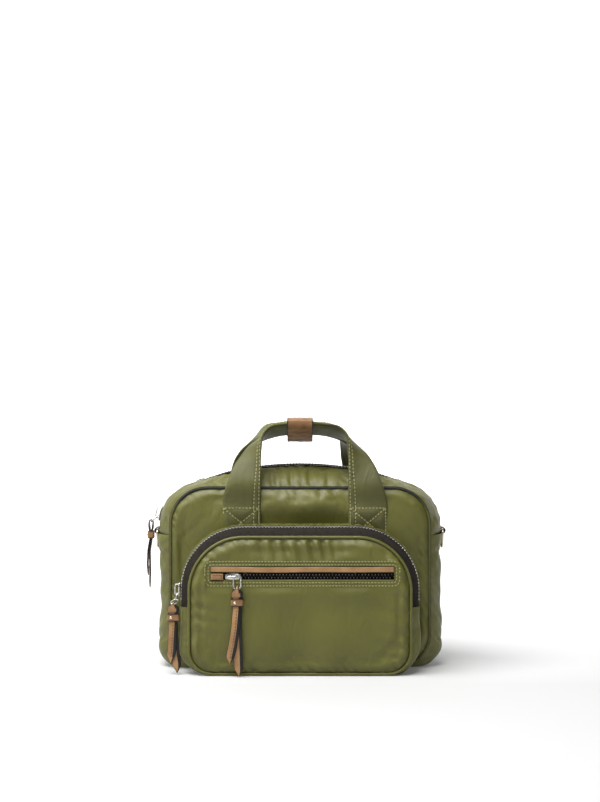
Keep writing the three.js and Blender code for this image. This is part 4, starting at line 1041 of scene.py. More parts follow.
def ridge_at(track, y, lift=0.0):
    """Maps a length s, a side w and a height h to a point on a zip that runs along a track's ridge.

    Between the sliders' ends the zip stands higher by lift sin^2, which the padding on both sides pushes up.
    """
    def at(s, w, h):
        points, outs = track.place(track.count(s))
        share = np.clip((np.minimum(s, track.length - s) - LIFT_START) / LIFT_RUN, 0, 1)
        flat = points + outs * (h - ZIP_DEPTH + lift * np.sin(QUARTER * share) ** 2)[:, None]
        return np.stack([flat[:, 0], y + w, flat[:, 1]], -1)
    return at


def arch_x(track, s):
    return track.place(track.count(s))[0][:, 0]


def build_main_zip():
    at = ridge_at(RIDGE, 0, MAIN_ZIP_LIFT)
    t, counts = lip_rows(RIDGE, LIP_HALF, 2.0)
    s = np.interp(t, np.arange(len(RIDGE.starts())), RIDGE.starts())
    for sign, side in ((-1, "front"), (1, "back")):
        w = sign * np.linspace(TAPE_HALF + 1.5, TAPE_INNER, 8)
        grid = np.stack([at(s, np.full(len(s), value), -0.1) for value in w], 1)
        parts = side_parts("main_tape", side, f"main_tape_{side}")
        split_band(f"main_tape_{side}", grid, 0 * grid[..., 0], counts, 1, parts, TAPE, "zip_tape", pad=False)
        first = 8.2 + (TOOTH_PITCH / 2 if sign > 0 else 0)
        places = np.arange(first, RIDGE.length - 8, TOOTH_PITCH)
        x = arch_x(RIDGE, places)
        left, lip, right = side_parts("main_teeth", side, f"main_teeth_{side}")
        masks = (x < -LIP_HALF, x > LIP_HALF, np.abs(x) <= LIP_HALF)
        for (label, body, nodes), here in zip((left, right, lip), masks):
            zip_teeth(f"main_teeth_{side}_{label}", at, places[here], sign, body, "zip_metal", *nodes)


# Front pocket

def pocket_share(y):
    ahead = bulge(np.clip((y - POCKET_EDGE_Y) / (POCKET_RIDGE_Y - ZIP_FLAT - POCKET_EDGE_Y), 0, 1))
    start = POCKET_RIDGE_Y + ZIP_FLAT
    return np.where(y > start, 1 + (y - start) / (POCKET_JOIN_Y - start) * BACK_RISE, ahead)


def snap(values, lines, reach):
    """Moves the values that lie within reach of a line onto it, so that a cut there is straight."""
    for line in lines:
        values = np.where(np.abs(values - line) < reach, line, values)
    return values


def grid_part(name, grid, shade, faces_kept, material, body, slot, *replaced, fill=0.6):
    """A piece made of some of a grid's faces: faces_kept is a mask over the (rows - 1, columns - 1) cells."""
    rows, columns = grid.shape[:2]
    quads = grid_quads(rows, columns)[faces_kept.ravel()]
    used, index = np.unique(quads, return_inverse=True)
    uv = grid_lengths(grid).reshape(-1, 2)[used]
    piece = add_mesh(name, grid.reshape(-1, 3)[used], index.reshape(quads.shape), material, uv)
    paint(piece, "Painted shade", shade.ravel()[used])
    return ride(piece, body, slot, *replaced)


def build_pocket_face():
    """The padded face, with hanging folds below its upper edge, cut at the welt's window and at the lip."""
    grid, shade, gap = pad_surface(
        POCKET_PIPE, POCKET_PIPE_INSET, -POCKET_FACE_Y, roll=3.0, sign=-1, pressure=3.0, seed=131,
        swell=0.2, limit=1.2)
    x, z = grid[..., 0], grid[..., 2]
    below = np.clip(POCKET_TOP - POCKET_SLOPE - z, 0, None)
    reach = hump(below, 0, HANGING_REACH) * np.clip(gap / 2, 0, 1)
    hanging = puckers(x + 0.3 * z, HANGING_PITCH, 151) * reach * hump(x, 2, 46)
    side_pull = puckers(z + 0.2 * x, SIDE_PULL_PITCH, 163) * np.exp(-gap / 16) * (np.abs(x) > 60)
    grid[..., 1] -= HANGING_DEPTH * hanging + SIDE_PULL_DEPTH * side_pull * np.clip(gap / 2, 0, 1)
    # Painted shade: darker in the hollows of the hanging folds.
    shade = np.clip(shade - 0.35 * hanging, 0, 1)
    near_welt = np.exp(-(np.clip(np.abs(z - WELT_MIDDLE) - 8, 0, None) / 5) ** 2) * (np.abs(x - 2) < 82)
    grid[..., 1] += near_welt * (POCKET_FACE_Y - 0.3 - grid[..., 1])
    grid[..., 0] = snap(x, [WELT_LEFT, WELT_RIGHT, -POCKET_LIP_HALF, POCKET_LIP_HALF], 0.45)
    grid[..., 2] = snap(z, [WELT_BOTTOM, WELT_TOP, POCKET_LIP_HEIGHT], 0.5)
    centre = (grid[:-1, :-1] + grid[1:, :-1] + grid[1:, 1:] + grid[:-1, 1:]) / 4
    cx, cz = centre[..., 0], centre[..., 2]
    window = (cx > WELT_LEFT) & (cx < WELT_RIGHT) & (cz > WELT_BOTTOM) & (cz < WELT_TOP)
    lip = (np.abs(cx) < POCKET_LIP_HALF) & (cz > POCKET_LIP_HEIGHT)
    grid_part("pocket_face_cloth", grid, shade, ~window & ~lip, NYLON, "bag", "nylon", "pocket_face")
    hinge = (0, POCKET_FACE_Y, POCKET_LIP_HEIGHT)
    bend = ("bag", "pocket_mouth_lip", hinge, (0, POCKET_FACE_Y, POCKET_LIP_HEIGHT + 5))
    grid_part("pocket_lip_cloth", grid, shade, lip, NYLON, bend, "nylon", "pocket_lip")
    build_topstitch(grid)


def build_pocket_piping():
    t = POCKET_PIPE.spread(0.8)[:-1]
    loop = POCKET_PIPE.place(t)[0]
    lip = (np.abs(loop[:, 0]) <= POCKET_LIP_HALF) & (loop[:, 1] > POCKET_LIP_HEIGHT)
    first, last = np.flatnonzero(lip)[[0, -1]]
    rest = np.concatenate([loop[last:], loop[:first + 1]])
    for name, flat, body, node in (("pocket_piping_cord", rest, "bag", "pocket_piping"),
                                   ("pocket_lip_piping_cord", loop[first:last + 1], "pocket_mouth_lip",
                                    "pocket_lip_piping")):
        path = stood(flat, POCKET_PIPE_Y)
        cord = tube(
            name, path, POCKET_PIPE_RADIUS, NYLON, closed=False, sides=14, twist=0.5, strands=2, depth=0.12)
        ride(cord, body, "piping_cloth", node)
        # A near-black cord behind the pocket piping: painted shade inside the seam.
        path = path + [0, 1.7, 0]
        shadow_allowance = tube(name + "_seam_allowance_in_shadow", path, 1.3, BLACK_TAPE, closed=False, sides=12)
        ride(shadow_allowance, body, "piping_cloth")


def build_pocket_sides():
    t = POCKET_PIPE_UNDER.spread(4.0)
    y = np.linspace(POCKET_EDGE_Y, POCKET_JOIN_Y, 8)
    grid = band_grid(POCKET_PIPE_UNDER, POCKET_UNDER, t, y, pocket_share)
    fine, shade = band_surface(grid, 0.8, 171, 9, 0.45, limit=1.2)
    fine[..., 2] = np.maximum(fine[..., 2], 0.0)
    cloth_piece("pocket_gusset_cloth", fine, shade, NYLON, "bag", "nylon", "pocket_gusset",
                inward=POCKET_MIDDLE)
    t = POCKET_PIPE_ARCH.spread(4.0)
    y = np.linspace(POCKET_RIDGE_Y + POCKET_BACK_TAPE + 0.3, POCKET_JOIN_Y, 5)
    grid = band_grid(POCKET_PIPE_ARCH, POCKET_RIDGE, t, y, pocket_share)
    fine, shade = band_surface(grid, 0.3, 181, 8, 0.25, limit=0.6, broad=0.15)
    cloth_piece("pocket_top_strip_cloth", fine, shade, NYLON, "bag", "nylon", "pocket_top_strip",
                inward=POCKET_MIDDLE)


def build_pocket_zip():
    at = ridge_at(POCKET_RIDGE, POCKET_RIDGE_Y)
    t, counts = lip_rows(POCKET_RIDGE, POCKET_LIP_HALF, 2.0)
    y = np.linspace(POCKET_EDGE_Y - 0.4, POCKET_RIDGE_Y - TAPE_INNER, 12)
    grid = band_grid(POCKET_PIPE_ARCH, POCKET_RIDGE, t, y, pocket_share)
    normals = grid_normals(grid)
    grid -= normals * np.sign((normals * (grid - POCKET_MIDDLE)).sum(-1, keepdims=True)) * ZIP_DEPTH
    parts = [("left", "bag", ["pocket_tape"]), ("lip", "pocket_mouth_lip", ["pocket_lip_tape"]),
             ("right", "bag", [])]
    split_band("pocket_tape_front", grid, 0 * grid[..., 0], counts, 1, parts, TAPE, "zip_tape", pad=False)
    y = np.linspace(POCKET_RIDGE_Y + TAPE_INNER, POCKET_RIDGE_Y + POCKET_BACK_TAPE + 1, 5)
    grid = band_grid(POCKET_PIPE_ARCH, POCKET_RIDGE, t, y, pocket_share) - [0, 0, ZIP_DEPTH]
    ride(grid_mesh("pocket_tape_back", grid, TAPE), "bag", "zip_tape")
    for sign in (-1, 1):
        places = np.arange(6 + (TOOTH_PITCH / 2 if sign > 0 else 0), POCKET_RIDGE.length - 5, TOOTH_PITCH)
        x = np.abs(arch_x(POCKET_RIDGE, places))
        if sign > 0:
            zip_teeth("pocket_teeth_back", at, places, sign, "bag", "zip_metal", "pocket_teeth")
            continue
        zip_teeth("pocket_teeth_front", at, places[x > POCKET_LIP_HALF], sign, "bag", "zip_metal")
        zip_teeth("pocket_teeth_lip", at, places[x <= POCKET_LIP_HALF], sign, "pocket_mouth_lip", "zip_metal",
                  "pocket_lip_teeth")


# Welt pocket

def welt_at(s, w, h):
    return np.stack([WELT_LEFT + s, WELT_TAPE_Y - h + 0 * s, WELT_MIDDLE + w + 0 * s], -1)


def soft_strip(name, low, high, front, thickness, roll, body, node, wave=0.0, seed=1):
    """A leather strip: a grid over its front, rolled down at the edges; Paint marks the rolled edge.

    height = thickness sqrt(1 - (1 - d / roll)^2) within roll of the edge, d being the distance from it.
    """
    def lines(first, last, step):
        edge = np.linspace(0, roll, 5)
        inner = np.linspace(first, last, int((last - first) / step) + 2)
        return np.unique(np.concatenate([inner, first + edge, last - edge]))
    X, Z = np.meshgrid(lines(low[0], high[0], 0.8), lines(low[1], high[1], 0.5), indexing="ij")
    gap = np.minimum(np.minimum(X - low[0], high[0] - X), np.minimum(Z - low[1], high[1] - Z))
    rise = thickness * np.sqrt(np.clip(1 - (1 - np.clip(gap / roll, 0, 1)) ** 2, 0, 1))
    line = np.stack([X, 0 * X, 0 * X], -1)
    grid = np.stack([X, front + thickness - rise, Z + wave * ripple(line, 60, seed)], -1)
    piece = grid_mesh(name, grid, LEATHER, inward=(0, 0, 80))
    paint(piece, "Paint", np.clip(1 - gap / (0.9 * roll), 0, 1))
    return ride(piece, body, "leather", node)


def build_welt():
    top = WELT_TOP + WELT_LEATHER_HEIGHT
    soft_strip("welt_leather_strip", (WELT_LEFT, WELT_TOP), (WELT_RIGHT, top), WELT_LEATHER_FRONT, 1.4, 0.9,
               "bag", "welt_leather", 0.12, 5)
    tab_right = WELT_LEFT + END_TAB_WIDTH
    soft_strip("welt_end_tab_strip", (WELT_LEFT, WELT_BOTTOM + 0.6), (tab_right, WELT_TOP - 0.6),
               WELT_LEATHER_FRONT, 1.4, 0.8, "bag", "welt_end_tab")
    edge = level_line((WELT_LEFT - 0.5, WELT_RIGHT + 0.5), POCKET_FACE_Y - 0.1, top + 0.7, 90)
    ride(tube("welt_upper_fold", edge, 0.8, NYLON, closed=False), "bag", "nylon")
    left, right, low, high = WELT_LEFT + 1.6, WELT_LEFT + 9.3, WELT_BOTTOM + 1.9, WELT_TOP - 1.9
    corners = [(left, low), (right, low), (right, high), (left, high)]
    path = corner_path(corners, WELT_LEATHER_FRONT - 0.05, 12)
    ride(stitches("welt_tab_stitches", path, FORWARD, **TAB_STITCH), "bag", "leather")
    s = np.linspace(-4, WELT_RIGHT - WELT_LEFT + 4, 120)
    for label, side, tape, teeth in (("low", -1, ["welt_tape"], ["welt_teeth"]), ("high", 1, [], [])):
        grid = np.stack([welt_at(s, value, -0.1) for value in side * np.linspace(0.25, 7, 7)], 1)
        ride(grid_mesh(f"welt_tape_{label}", grid, BLACK_TAPE), "bag", "zip_tape", *tape)
        first = 1.5 + (TOOTH_PITCH / 2 if side > 0 else 0)
        places = np.arange(first, WELT_RIGHT - WELT_LEFT - 1, TOOTH_PITCH)
        zip_teeth(f"welt_teeth_{label}", welt_at, places, side, "bag", "zip_metal", *teeth,
                  outer=WELT_TOOTH_OUTER, length=WELT_TOOTH_LENGTH)
    roll = level_line((tab_right, WELT_RIGHT), POCKET_FACE_Y + 0.9, WELT_BOTTOM + 0.1, 80)
    ride(tube("welt_lower_fold", roll, 1.0, NYLON, closed=False), "bag", "nylon")
    build_pouch()


def corner_path(corners, y, count):
    """Points along straight runs from corner (x, z) to corner at the depth y, each corner given once."""
    points = np.array(corners, float)
    lines = [a + (b - a) * np.linspace(0, 1, count)[:, None] for a, b in zip(points, points[1:])]
    return stood(np.concatenate([line[int(k > 0):] for k, line in enumerate(lines)]), y)


def build_pouch():
    """The pocket's bag behind the face: a flat sack, closed below, open to the slot."""
    centre, middle = WELT_TAPE_Y + 6.9, (WELT_LEFT + WELT_RIGHT) / 2
    cosine, sine = circle(72, 1.0).T
    z = np.linspace(POUCH_BOTTOM, POUCH_TOP, 34)[:, None]
    x = middle + POUCH_HALF * np.sign(cosine) * np.abs(cosine) ** 0.25
    y = centre + POUCH_HALF_DEPTH * sine
    foot, mouth = (z - POUCH_BOTTOM) / 6, (POUCH_TOP + 0.5 - z) / 5
    soft = np.clip(foot, 0.02, 1) ** 0.5 * np.clip(mouth, 0.02, 1) ** 0.5
    grid = np.stack(np.broadcast_arrays(x, centre + (y - centre) * soft, z), -1)
    grid[..., 1] += 0.25 * ripple(grid, 26, 7)
    piece = grid_mesh("welt_pouch_cloth", grid, LINING, closed_columns=True, inward=(middle, centre, 60))
    ride(piece, "bag", "lining_cloth", "welt_pouch")


def build_topstitch(face):
    """Two rows of stitches round the welt, sewn through the face."""
    for number, reach_x, reach_z, radius in ((0, 2.0, 1.5, 3.5), (1, 4.7, 4.2, 6)):
        left, right = WELT_LEFT - reach_x, WELT_RIGHT + reach_x
        low, high = WELT_BOTTOM - reach_z, WELT_TOP + WELT_LEATHER_HEIGHT + reach_z
        flat = resample(round_corners([(left, low), (right, low), (right, high), (left, high)], radius), 0.8)
        path = lay_on(stood(flat, 0.0), face[::2, ::2], 0.0)
        ride(stitches(f"pocket_topstitch_{number}", path, FORWARD, **TOP_STITCH), "bag", "nylon")


# Handles and keeper

INNER_EDGE = [(1, 1, -0.42), (1, 1, 0), (1, 1, 0.24), (1, 0.97, 0.4), (0.99, 0.9, 0.7), (0.95, 0.86, 0.87),
              (0.79, 0.83, 0.96), (0.4, 0.82, 0.995), (0, 0.82, 1)]
OUTER_EDGE = [(1, 1, -0.51), (1, 1, 0), (0.94, 0.995, 0.32), (0.84, 0.78, 0.6), (0.7, 0.42, 0.79),
              (0.51, 0.12, 0.92), (0.3, 0.052, 0.985), (0.14, 0.051, 1), (0, 0.051, 1)]


def strap_edge(shares, half, rise, steps):
    """The CAD's edge: a centripetal Catmull-Rom curve through points set by shares of the handle's sizes."""
    def side(way):
        return [(HANDLE_CENTRE + way * x * half, -y * STRAP_Y, HANDLE_ROOT + z * rise) for x, y, z in shares]
    p = np.array(side(-1) + side(1)[::-1][1:], float)
    p = np.vstack([2 * p[0] - p[1], p, 2 * p[-1] - p[-2]])
    gap = np.sqrt(np.linalg.norm(np.diff(p, axis=0), axis=1))
    place = np.linspace(0, len(p) - 3, steps)
    k = np.clip(place.astype(int), 0, len(p) - 4)
    s = (place - k)[:, None]
    a, b, c, d = (p[k + n] for n in range(4))
    g0, g1, g2 = (gap[k + n][:, None] for n in range(3))
    start = ((b - a) / g0 - (c - a) / (g0 + g1) + (c - b) / g1) * g1
    end = ((c - b) / g1 - (d - b) / (g1 + g2) + (d - c) / g2) * g1
    return b + s * (start + s * (3 * (c - b) - 2 * start - end + s * (2 * (b - c) + start + end)))


def strap_normals(inner, outer):
    middle = (inner + outer) / 2
    along = np.gradient(middle, axis=0)
    normal = unit(np.cross(along, outer - inner))
    return normal * np.where((normal * (middle - [HANDLE_CENTRE, 0, 100])).sum(1, keepdims=True) < 0, -1, 1)


def turned(points):
    """The back handle is the front one turned half round, and leans to the left above its feet."""
    lean = BACK_LEAN * np.clip((points[..., 2:] - HANDLE_ROOT) / 40, 0, 1) ** 1.5
    return points * [-1, -1, 1] + [2 * HANDLE_CENTRE, 0, 0] - lean * [1, 0, 0]


def quilt(points):
    """The sewn box and cross pull the strap's foot into four pads.

    Their height is 0.9 (1 - exp(-(d / 0.2)^2)), with d the distance off the cross.
    """
    middle = LEG_INNER_HALF + STRAP_WIDTH / 2
    u = np.abs(np.abs(points[..., 0] - HANDLE_CENTRE) - middle) / (STRAP_WIDTH / 2 - FOOT_INSET)
    v = np.abs(points[..., 2] - HANDLE_ROOT + (FOOT_LOW + FOOT_HIGH) / 2) / ((FOOT_LOW - FOOT_HIGH) / 2)
    inside = np.clip((1 - np.maximum(u, v)) / 0.2, 0, 1)
    return 0.9 * (1 - np.exp(-((u - v) / 0.2) ** 2)) * inside * (points[..., 1] < 0)


def build_handles():
    """Each strap is a flattened tube from edge to edge: upper and lower face are its middle plus height n.

    Two rows of stitches draw the upper face down, and gathers run beside them.
    """
    inner = strap_edge(INNER_EDGE, LEG_INNER_HALF, HANDLE_RIM - HANDLE_ROOT, STRAP_STEPS)
    outer = strap_edge(OUTER_EDGE, LEG_INNER_HALF + STRAP_WIDTH, HANDLE_LOW - HANDLE_ROOT, STRAP_STEPS)
    normal = strap_normals(inner, outer)
    share = np.linspace(0, 1, STRAP_COLUMNS)
    profile = (STRAP_THICKNESS / 2) * np.clip(1 - np.abs(2 * share - 1) ** 10, 0, 1) ** 0.5
    soft = np.clip(profile / (STRAP_THICKNESS / 2), 0, 1)
    rows = sum(hump(share, row / (STRAP_COLUMNS - 1), 0.025) for row in STITCH_ROWS)
    swell = 0.5 * np.sin(math.pi * share) ** 0.7 - 0.42 * rows
    top = inner[:, None] + (outer - inner)[:, None] * share[None, :, None]
    along = np.broadcast_to(path_lengths((inner + outer) / 2)[:, None], top.shape[:2])
    line = np.stack([along, 30 * np.broadcast_to(share, along.shape), np.zeros(along.shape)], -1)
    for name, seed, way, face in (("front_handle", 201, lambda points: points, [1, 1, 1]),
                                  ("back_handle", 221, turned, [-1, -1, 1])):
        wrinkle = 0.35 * ripple(line * [1, 0.35, 1], 22, seed)
        puck = 0.16 * puckers(along, 4.6, seed + 4) * (hump(share, 0.13, 0.09) + hump(share, 0.93, 0.07))
        rise = profile + (swell + wrinkle + puck) * soft
        fall = -profile - (swell - 0.6 * wrinkle + puck) * soft * 0.5
        upper = top + normal[:, None] * (rise + quilt(top))[..., None]
        lower = (top + normal[:, None] * fall[..., None])[:, ::-1]
        # Painted shade: darker along the stitch rows and in the hollows of puckers and wrinkles.
        shade = np.clip(np.clip(0.8 * rows, 0, 1) - 0.4 * puck - 0.25 * wrinkle, 0, 1)
        grid = way(np.concatenate([upper, lower[:, 1:-1]], 1))
        piece = grid_mesh(name + "_strap", grid, SHADED_STRAP_NYLON, closed_columns=True)
        paint(piece, "Painted shade", np.concatenate([shade, shade[:, ::-1][:, 1:-1]], 1))
        ride(piece, "bag", "nylon", name)
        for number, row in enumerate(STITCH_ROWS):
            path, up = way(upper[4:-4, row]), normal[4:-4] * face
            ride(stitches(f"{name}_stitches_{number}", path, up, **STRAP_STITCH), "bag", "nylon")
        build_cross_boxes(name, way, upper, [0, -face[0], 0])


def build_cross_boxes(name, way, surface, up):
    """The sewn box and cross that holds each end of a strap to its panel."""
    feet = surface[surface[..., 2] < HANDLE_ROOT + 4]
    low, high = HANDLE_ROOT - FOOT_LOW, HANDLE_ROOT - FOOT_HIGH
    for side, end in ((-1, "left"), (1, "right")):
        middle = HANDLE_CENTRE + side * (LEG_INNER_HALF + STRAP_WIDTH / 2)
        left, right = middle - STRAP_WIDTH / 2 + FOOT_INSET, middle + STRAP_WIDTH / 2 - FOOT_INSET
        box = [(left, low), (right, low), (right, high), (left, high), (left, low), (right, high)]
        for label, corners in (("box", box), ("cross", [(left, high), (right, low)])):
            points = np.concatenate([np.linspace(a, b, 20) for a, b in zip(corners, corners[1:])])
            path = lay_on(stood(points, 0.0), feet, 0.15)
            ride(stitches(f"{name}_{label}_{end}", way(path), up, **BOX_STITCH), "bag", "nylon")


def round_corners(corners, radius, steps=7):
    """A closed outline with each corner replaced by a quadratic curve that starts radius before it."""
    corners = np.asarray(corners, float)
    out = []
    for k, point in enumerate(corners):
        before, after = corners[k - 1], corners[(k + 1) % len(corners)]
        reach = [min(radius, 0.45 * np.linalg.norm(other - point)) for other in (before, after)]
        a = point + (before - point) / np.linalg.norm(before - point) * reach[0]
        b = point + (after - point) / np.linalg.norm(after - point) * reach[1]
        u = np.linspace(0, 1, steps)[:, None]
        out.append((1 - u) ** 2 * a + 2 * u * (1 - u) * point + u ** 2 * b)
    return np.concatenate(out)


def resample(path, step, closed=True):
    """The same line with points about one step apart."""
    path = np.vstack([path, path[:1]]) if closed else path
    keep = np.concatenate([[True], np.linalg.norm(np.diff(path, axis=0), axis=1) > 1e-6])
    path = path[keep]
    s = path_lengths(path)
    places = np.linspace(0, s[-1], int(s[-1] / step) + 1)
    return read_along(places[:-1] if closed else places, s, path)


def leather_loop(name, loop, axis, half, wall, body, node, wave=0.0, seed=1):
    """A leather band bent round a closed outline: wall thick, 2 half wide along axis, with painted edges.

    loop holds the outer outline's points in space. The wall lies inside it.
    """
    axis = np.asarray(axis, float)
    out = np.cross(unit(np.roll(loop, -1, 0) - np.roll(loop, 1, 0)), axis)
    if ((loop - loop.mean(0)) * out).sum() < 0:
        out = -out
    r = min(0.5, wall / 2)
    flat = np.linspace(-half + 1.2, half - 1.2, 12)
    corner = [(half - r + r * math.sin(a), -r + r * math.cos(a)) for a in np.linspace(0, QUARTER, 4)]
    section = [(-half + r, 0)] + [(w, 0) for w in flat] + corner
    section += [(w, -wall - d) for w, d in corner[::-1]] + [(w, -wall) for w in -flat]
    section += [(-w, -wall - d) for w, d in corner] + [(-w, d) for w, d in corner[::-1]][:-1]
    section = np.array(section)
    line = np.broadcast_to(loop[:, None], (len(loop), len(section), 3))
    ripples = wave * ripple(line + axis * section[None, :, :1] * 1.5, 9, seed)
    grid = line + axis * section[None, :, :1] + out[:, None] * (section[None, :, 1:2] + ripples[..., None])
    piece = grid_mesh(name, grid, BROWN_LEATHER, closed_rows=True, closed_columns=True)
    painted = (np.abs(section[:, 0]) > half - 0.62).astype(float)
    paint(piece, "Paint", np.broadcast_to(painted, grid.shape[:2]))
    return ride(piece, body, "leather", node)


def build_keeper():
    shoulder, deep = KEEPER_SHOULDER, KEEPER_HALF_DEPTH
    side = KEEPER_TOP - 1.5 * shoulder
    corners = [(-deep, side), (-shoulder, KEEPER_BOTTOM), (shoulder, KEEPER_BOTTOM), (deep, side),
               (deep, KEEPER_TOP), (-deep, KEEPER_TOP)]
    flat = resample(round_corners(corners, shoulder), 0.9)
    loop = np.stack([0 * flat[:, 0], flat[:, 0], flat[:, 1]], -1)
    leather_loop("keeper_band", loop, (1, 0, 0), KEEPER_HALF, KEEPER_WALL, "keeper", "handle_keeper", 0.12, 9)


# Rings and tabs

def build_rings():
    for name, side in (("left", -1), ("right", 1)):
        corners = [(-RING_HALF, 0), (RING_HALF, 0)]
        angle = np.linspace(0, math.pi, 32)
        drop = RING_DROP - RING_CORNER
        arc = [(RING_HALF * math.cos(a), -RING_CORNER - drop * math.sin(a)) for a in angle]
        flat = resample(round_corners(corners + arc[1:-1], 2.6), 0.5)
        path = np.stack([np.full(len(flat), side * RING_X), flat[:, 0], RING_HEIGHT + flat[:, 1]], -1)
        ring = tube(f"d_ring_{name}_wire", path, RING_WIRE, GOLD, up=ACROSS_X, sides=16)
        ride(ring, f"{name}_ring", "ring_metal", f"d_ring_{name}")
        loop = stood([side * RING_X, RING_HEIGHT] + circle(48, TAB_OUTER), 0.0)
        leather_loop(f"d_ring_tab_{name}_band", loop, (0, 1, 0), TAB_HALF, 1.1, "bag", f"d_ring_tab_{name}")


# Sliders, links and pulls

LINK_REST = TOOTH_HALF_HEIGHT + 0.6 + SLIDER_PLATE + LINK_WIRE + 0.3
POST_REACH = BAIL_REACH - 0.6
POST_GAP = 0.6 + LINK_WIRE + 0.6
MAIN_SLIDER_S = side_run + 9.3
POCKET_SLIDER_S = POCKET_TOP - POCKET_CORNER_RADIUS - POCKET_ZIP_END - 0.3
WELT_SLIDER_S = 18.5


def point_at(at, s, w, h):
    return at(np.array([float(s)]), np.array([float(w)]), h)[0]


def slab(name, outline, levels, at, material):
    """A plate: rings of a flat outline (s, w) at heights h, each shrunk about its middle by a share."""
    middle = outline.mean(0)
    levels = [(levels[0][0], 0.02)] + levels + [(levels[-1][0], 0.02)]
    rings = []
    for h, share in levels:
        flat = middle + (outline - middle) * share
        rings.append(at(flat[:, 0], flat[:, 1], h))
    return grid_mesh(name, np.stack(rings), material, closed_columns=True)


def build_slider(name, at, s, half_width, body, node):
    """Two plates with a neck between them, and a flat bail on top that carries the link."""
    half = SLIDER_LENGTH / 2
    widths = [(s - half, 0.72), (s, 1), (s + 0.7 * half, 1), (s + half, 0.7)]
    plan = [(a, -w * half_width) for a, w in widths] + [(a, w * half_width) for a, w in widths[::-1]]
    outline = resample(round_corners(plan, 2.2), 0.5)
    gap = SLIDER_GAP
    top = gap + SLIDER_PLATE
    for label, low, high in (("top", gap, top), ("under", -top, -gap)):
        levels = [(low, 0.93), (low + 0.2, 1.0), (high - 0.35, 1.0), (high - 0.1, 0.95), (high, 0.86)]
        piece = slab(f"{name}_{label}", outline, levels, at, STEEL)
        ride(piece, body, "zip_metal", *([node] if label == "top" else []))
    neck = resample(np.array([(s + 0.3 * half, -0.5), (s + 0.8 * half, -0.5), (s + 0.8 * half, 0.5),
                              (s + 0.3 * half, 0.5)]), 0.4)
    ride(slab(name + "_neck", neck, [(-gap - 0.3, 1.0), (gap + 0.3, 1.0)], at, STEEL), body, "zip_metal")
    reach = BAIL_REACH - 0.4
    arch = round_corners([(s - reach, top - 0.4), (s - reach, top + BAIL_HEIGHT - 0.5),
                          (s + reach, top + BAIL_HEIGHT - 0.5), (s + reach, top - 0.4)], 2.2)
    arch = resample(arch, 0.3, closed=False)
    path = np.stack([point_at(at, a, 0, h) for a, h in arch])
    across = point_at(at, s, 1, 0) - point_at(at, s, 0, 0)
    for offset in (-BAIL_SPACING, 0, BAIL_SPACING):
        shift = point_at(at, s, offset, 0) - point_at(at, s, 0, 0)
        label = f"{name}_bail_{int(10 * offset) + 5}"
        wire = tube(label, path + shift, BAIL_WIRE, STEEL, up=unit(across), closed=False)
        ride(wire, body, "zip_metal")


def oval(top, bottom, side, radius):
    """An oval of wire from top to bottom: two half circles of the radius joined by straight runs."""
    axis = (bottom - top) / np.linalg.norm(bottom - top)
    angle = np.linspace(0, math.pi, 18)[:, None]
    first = top + axis * (radius - radius * np.sin(angle)) + side * radius * np.cos(angle)
    second = bottom + axis * (radius * np.sin(angle) - radius) - side * radius * np.cos(angle)
    return np.concatenate([first, second]), np.cross(axis, side)


def build_link(name, pairs, radius, body, node):
    for number, (top, bottom, side) in enumerate(pairs):
        path, normal = oval(top, bottom, side, radius)
        wire = tube(f"{name}_{number}", resample(path, 0.4), LINK_WIRE, STEEL, up=unit(normal), sides=12)
        ride(wire, body, "zip_metal", *([node] if number == 0 else []))


def ribbon(name, centre, side, normal, half):
    """A leather strip along a line of points, with rounded painted edges; the paint is broad on one side."""
    r = PULL_THICKNESS / 2
    turn = np.linspace(-QUARTER, QUARTER, 7)
    share = np.linspace(-1, 1, 9)
    top = [(w, 0, 1.0) for w in share]
    right = [(1, r * math.cos(a), -math.sin(a)) for a in turn[1:-1]]
    bottom = [(w, 0, -1.0) for w in share[::-1]]
    left = [(-1, -r * math.cos(a), math.sin(a)) for a in turn[1:-1]]
    section = np.array(top + right + bottom + left)
    across = np.maximum(half - r, 0.05)[:, None] * section[None, :, 0] + section[None, :, 1]
    grid = centre[:, None] + across[..., None] * side + (section[None, :, 2:3] * r) * normal[:, None]
    grid[[0, -1]] = centre[[0, -1], None] + (grid[[0, -1]] - centre[[0, -1], None]) * 0.05
    piece = grid_mesh(name, grid, LEATHER, closed_columns=True)
    edge = half[:, None] - np.abs(across)
    reach = np.where(across > 0, np.minimum(DARK_SIDE, 0.6 * half)[:, None], PAINT_WIDTH)
    paint(piece, "Paint", (edge < reach).astype(float))
    return piece


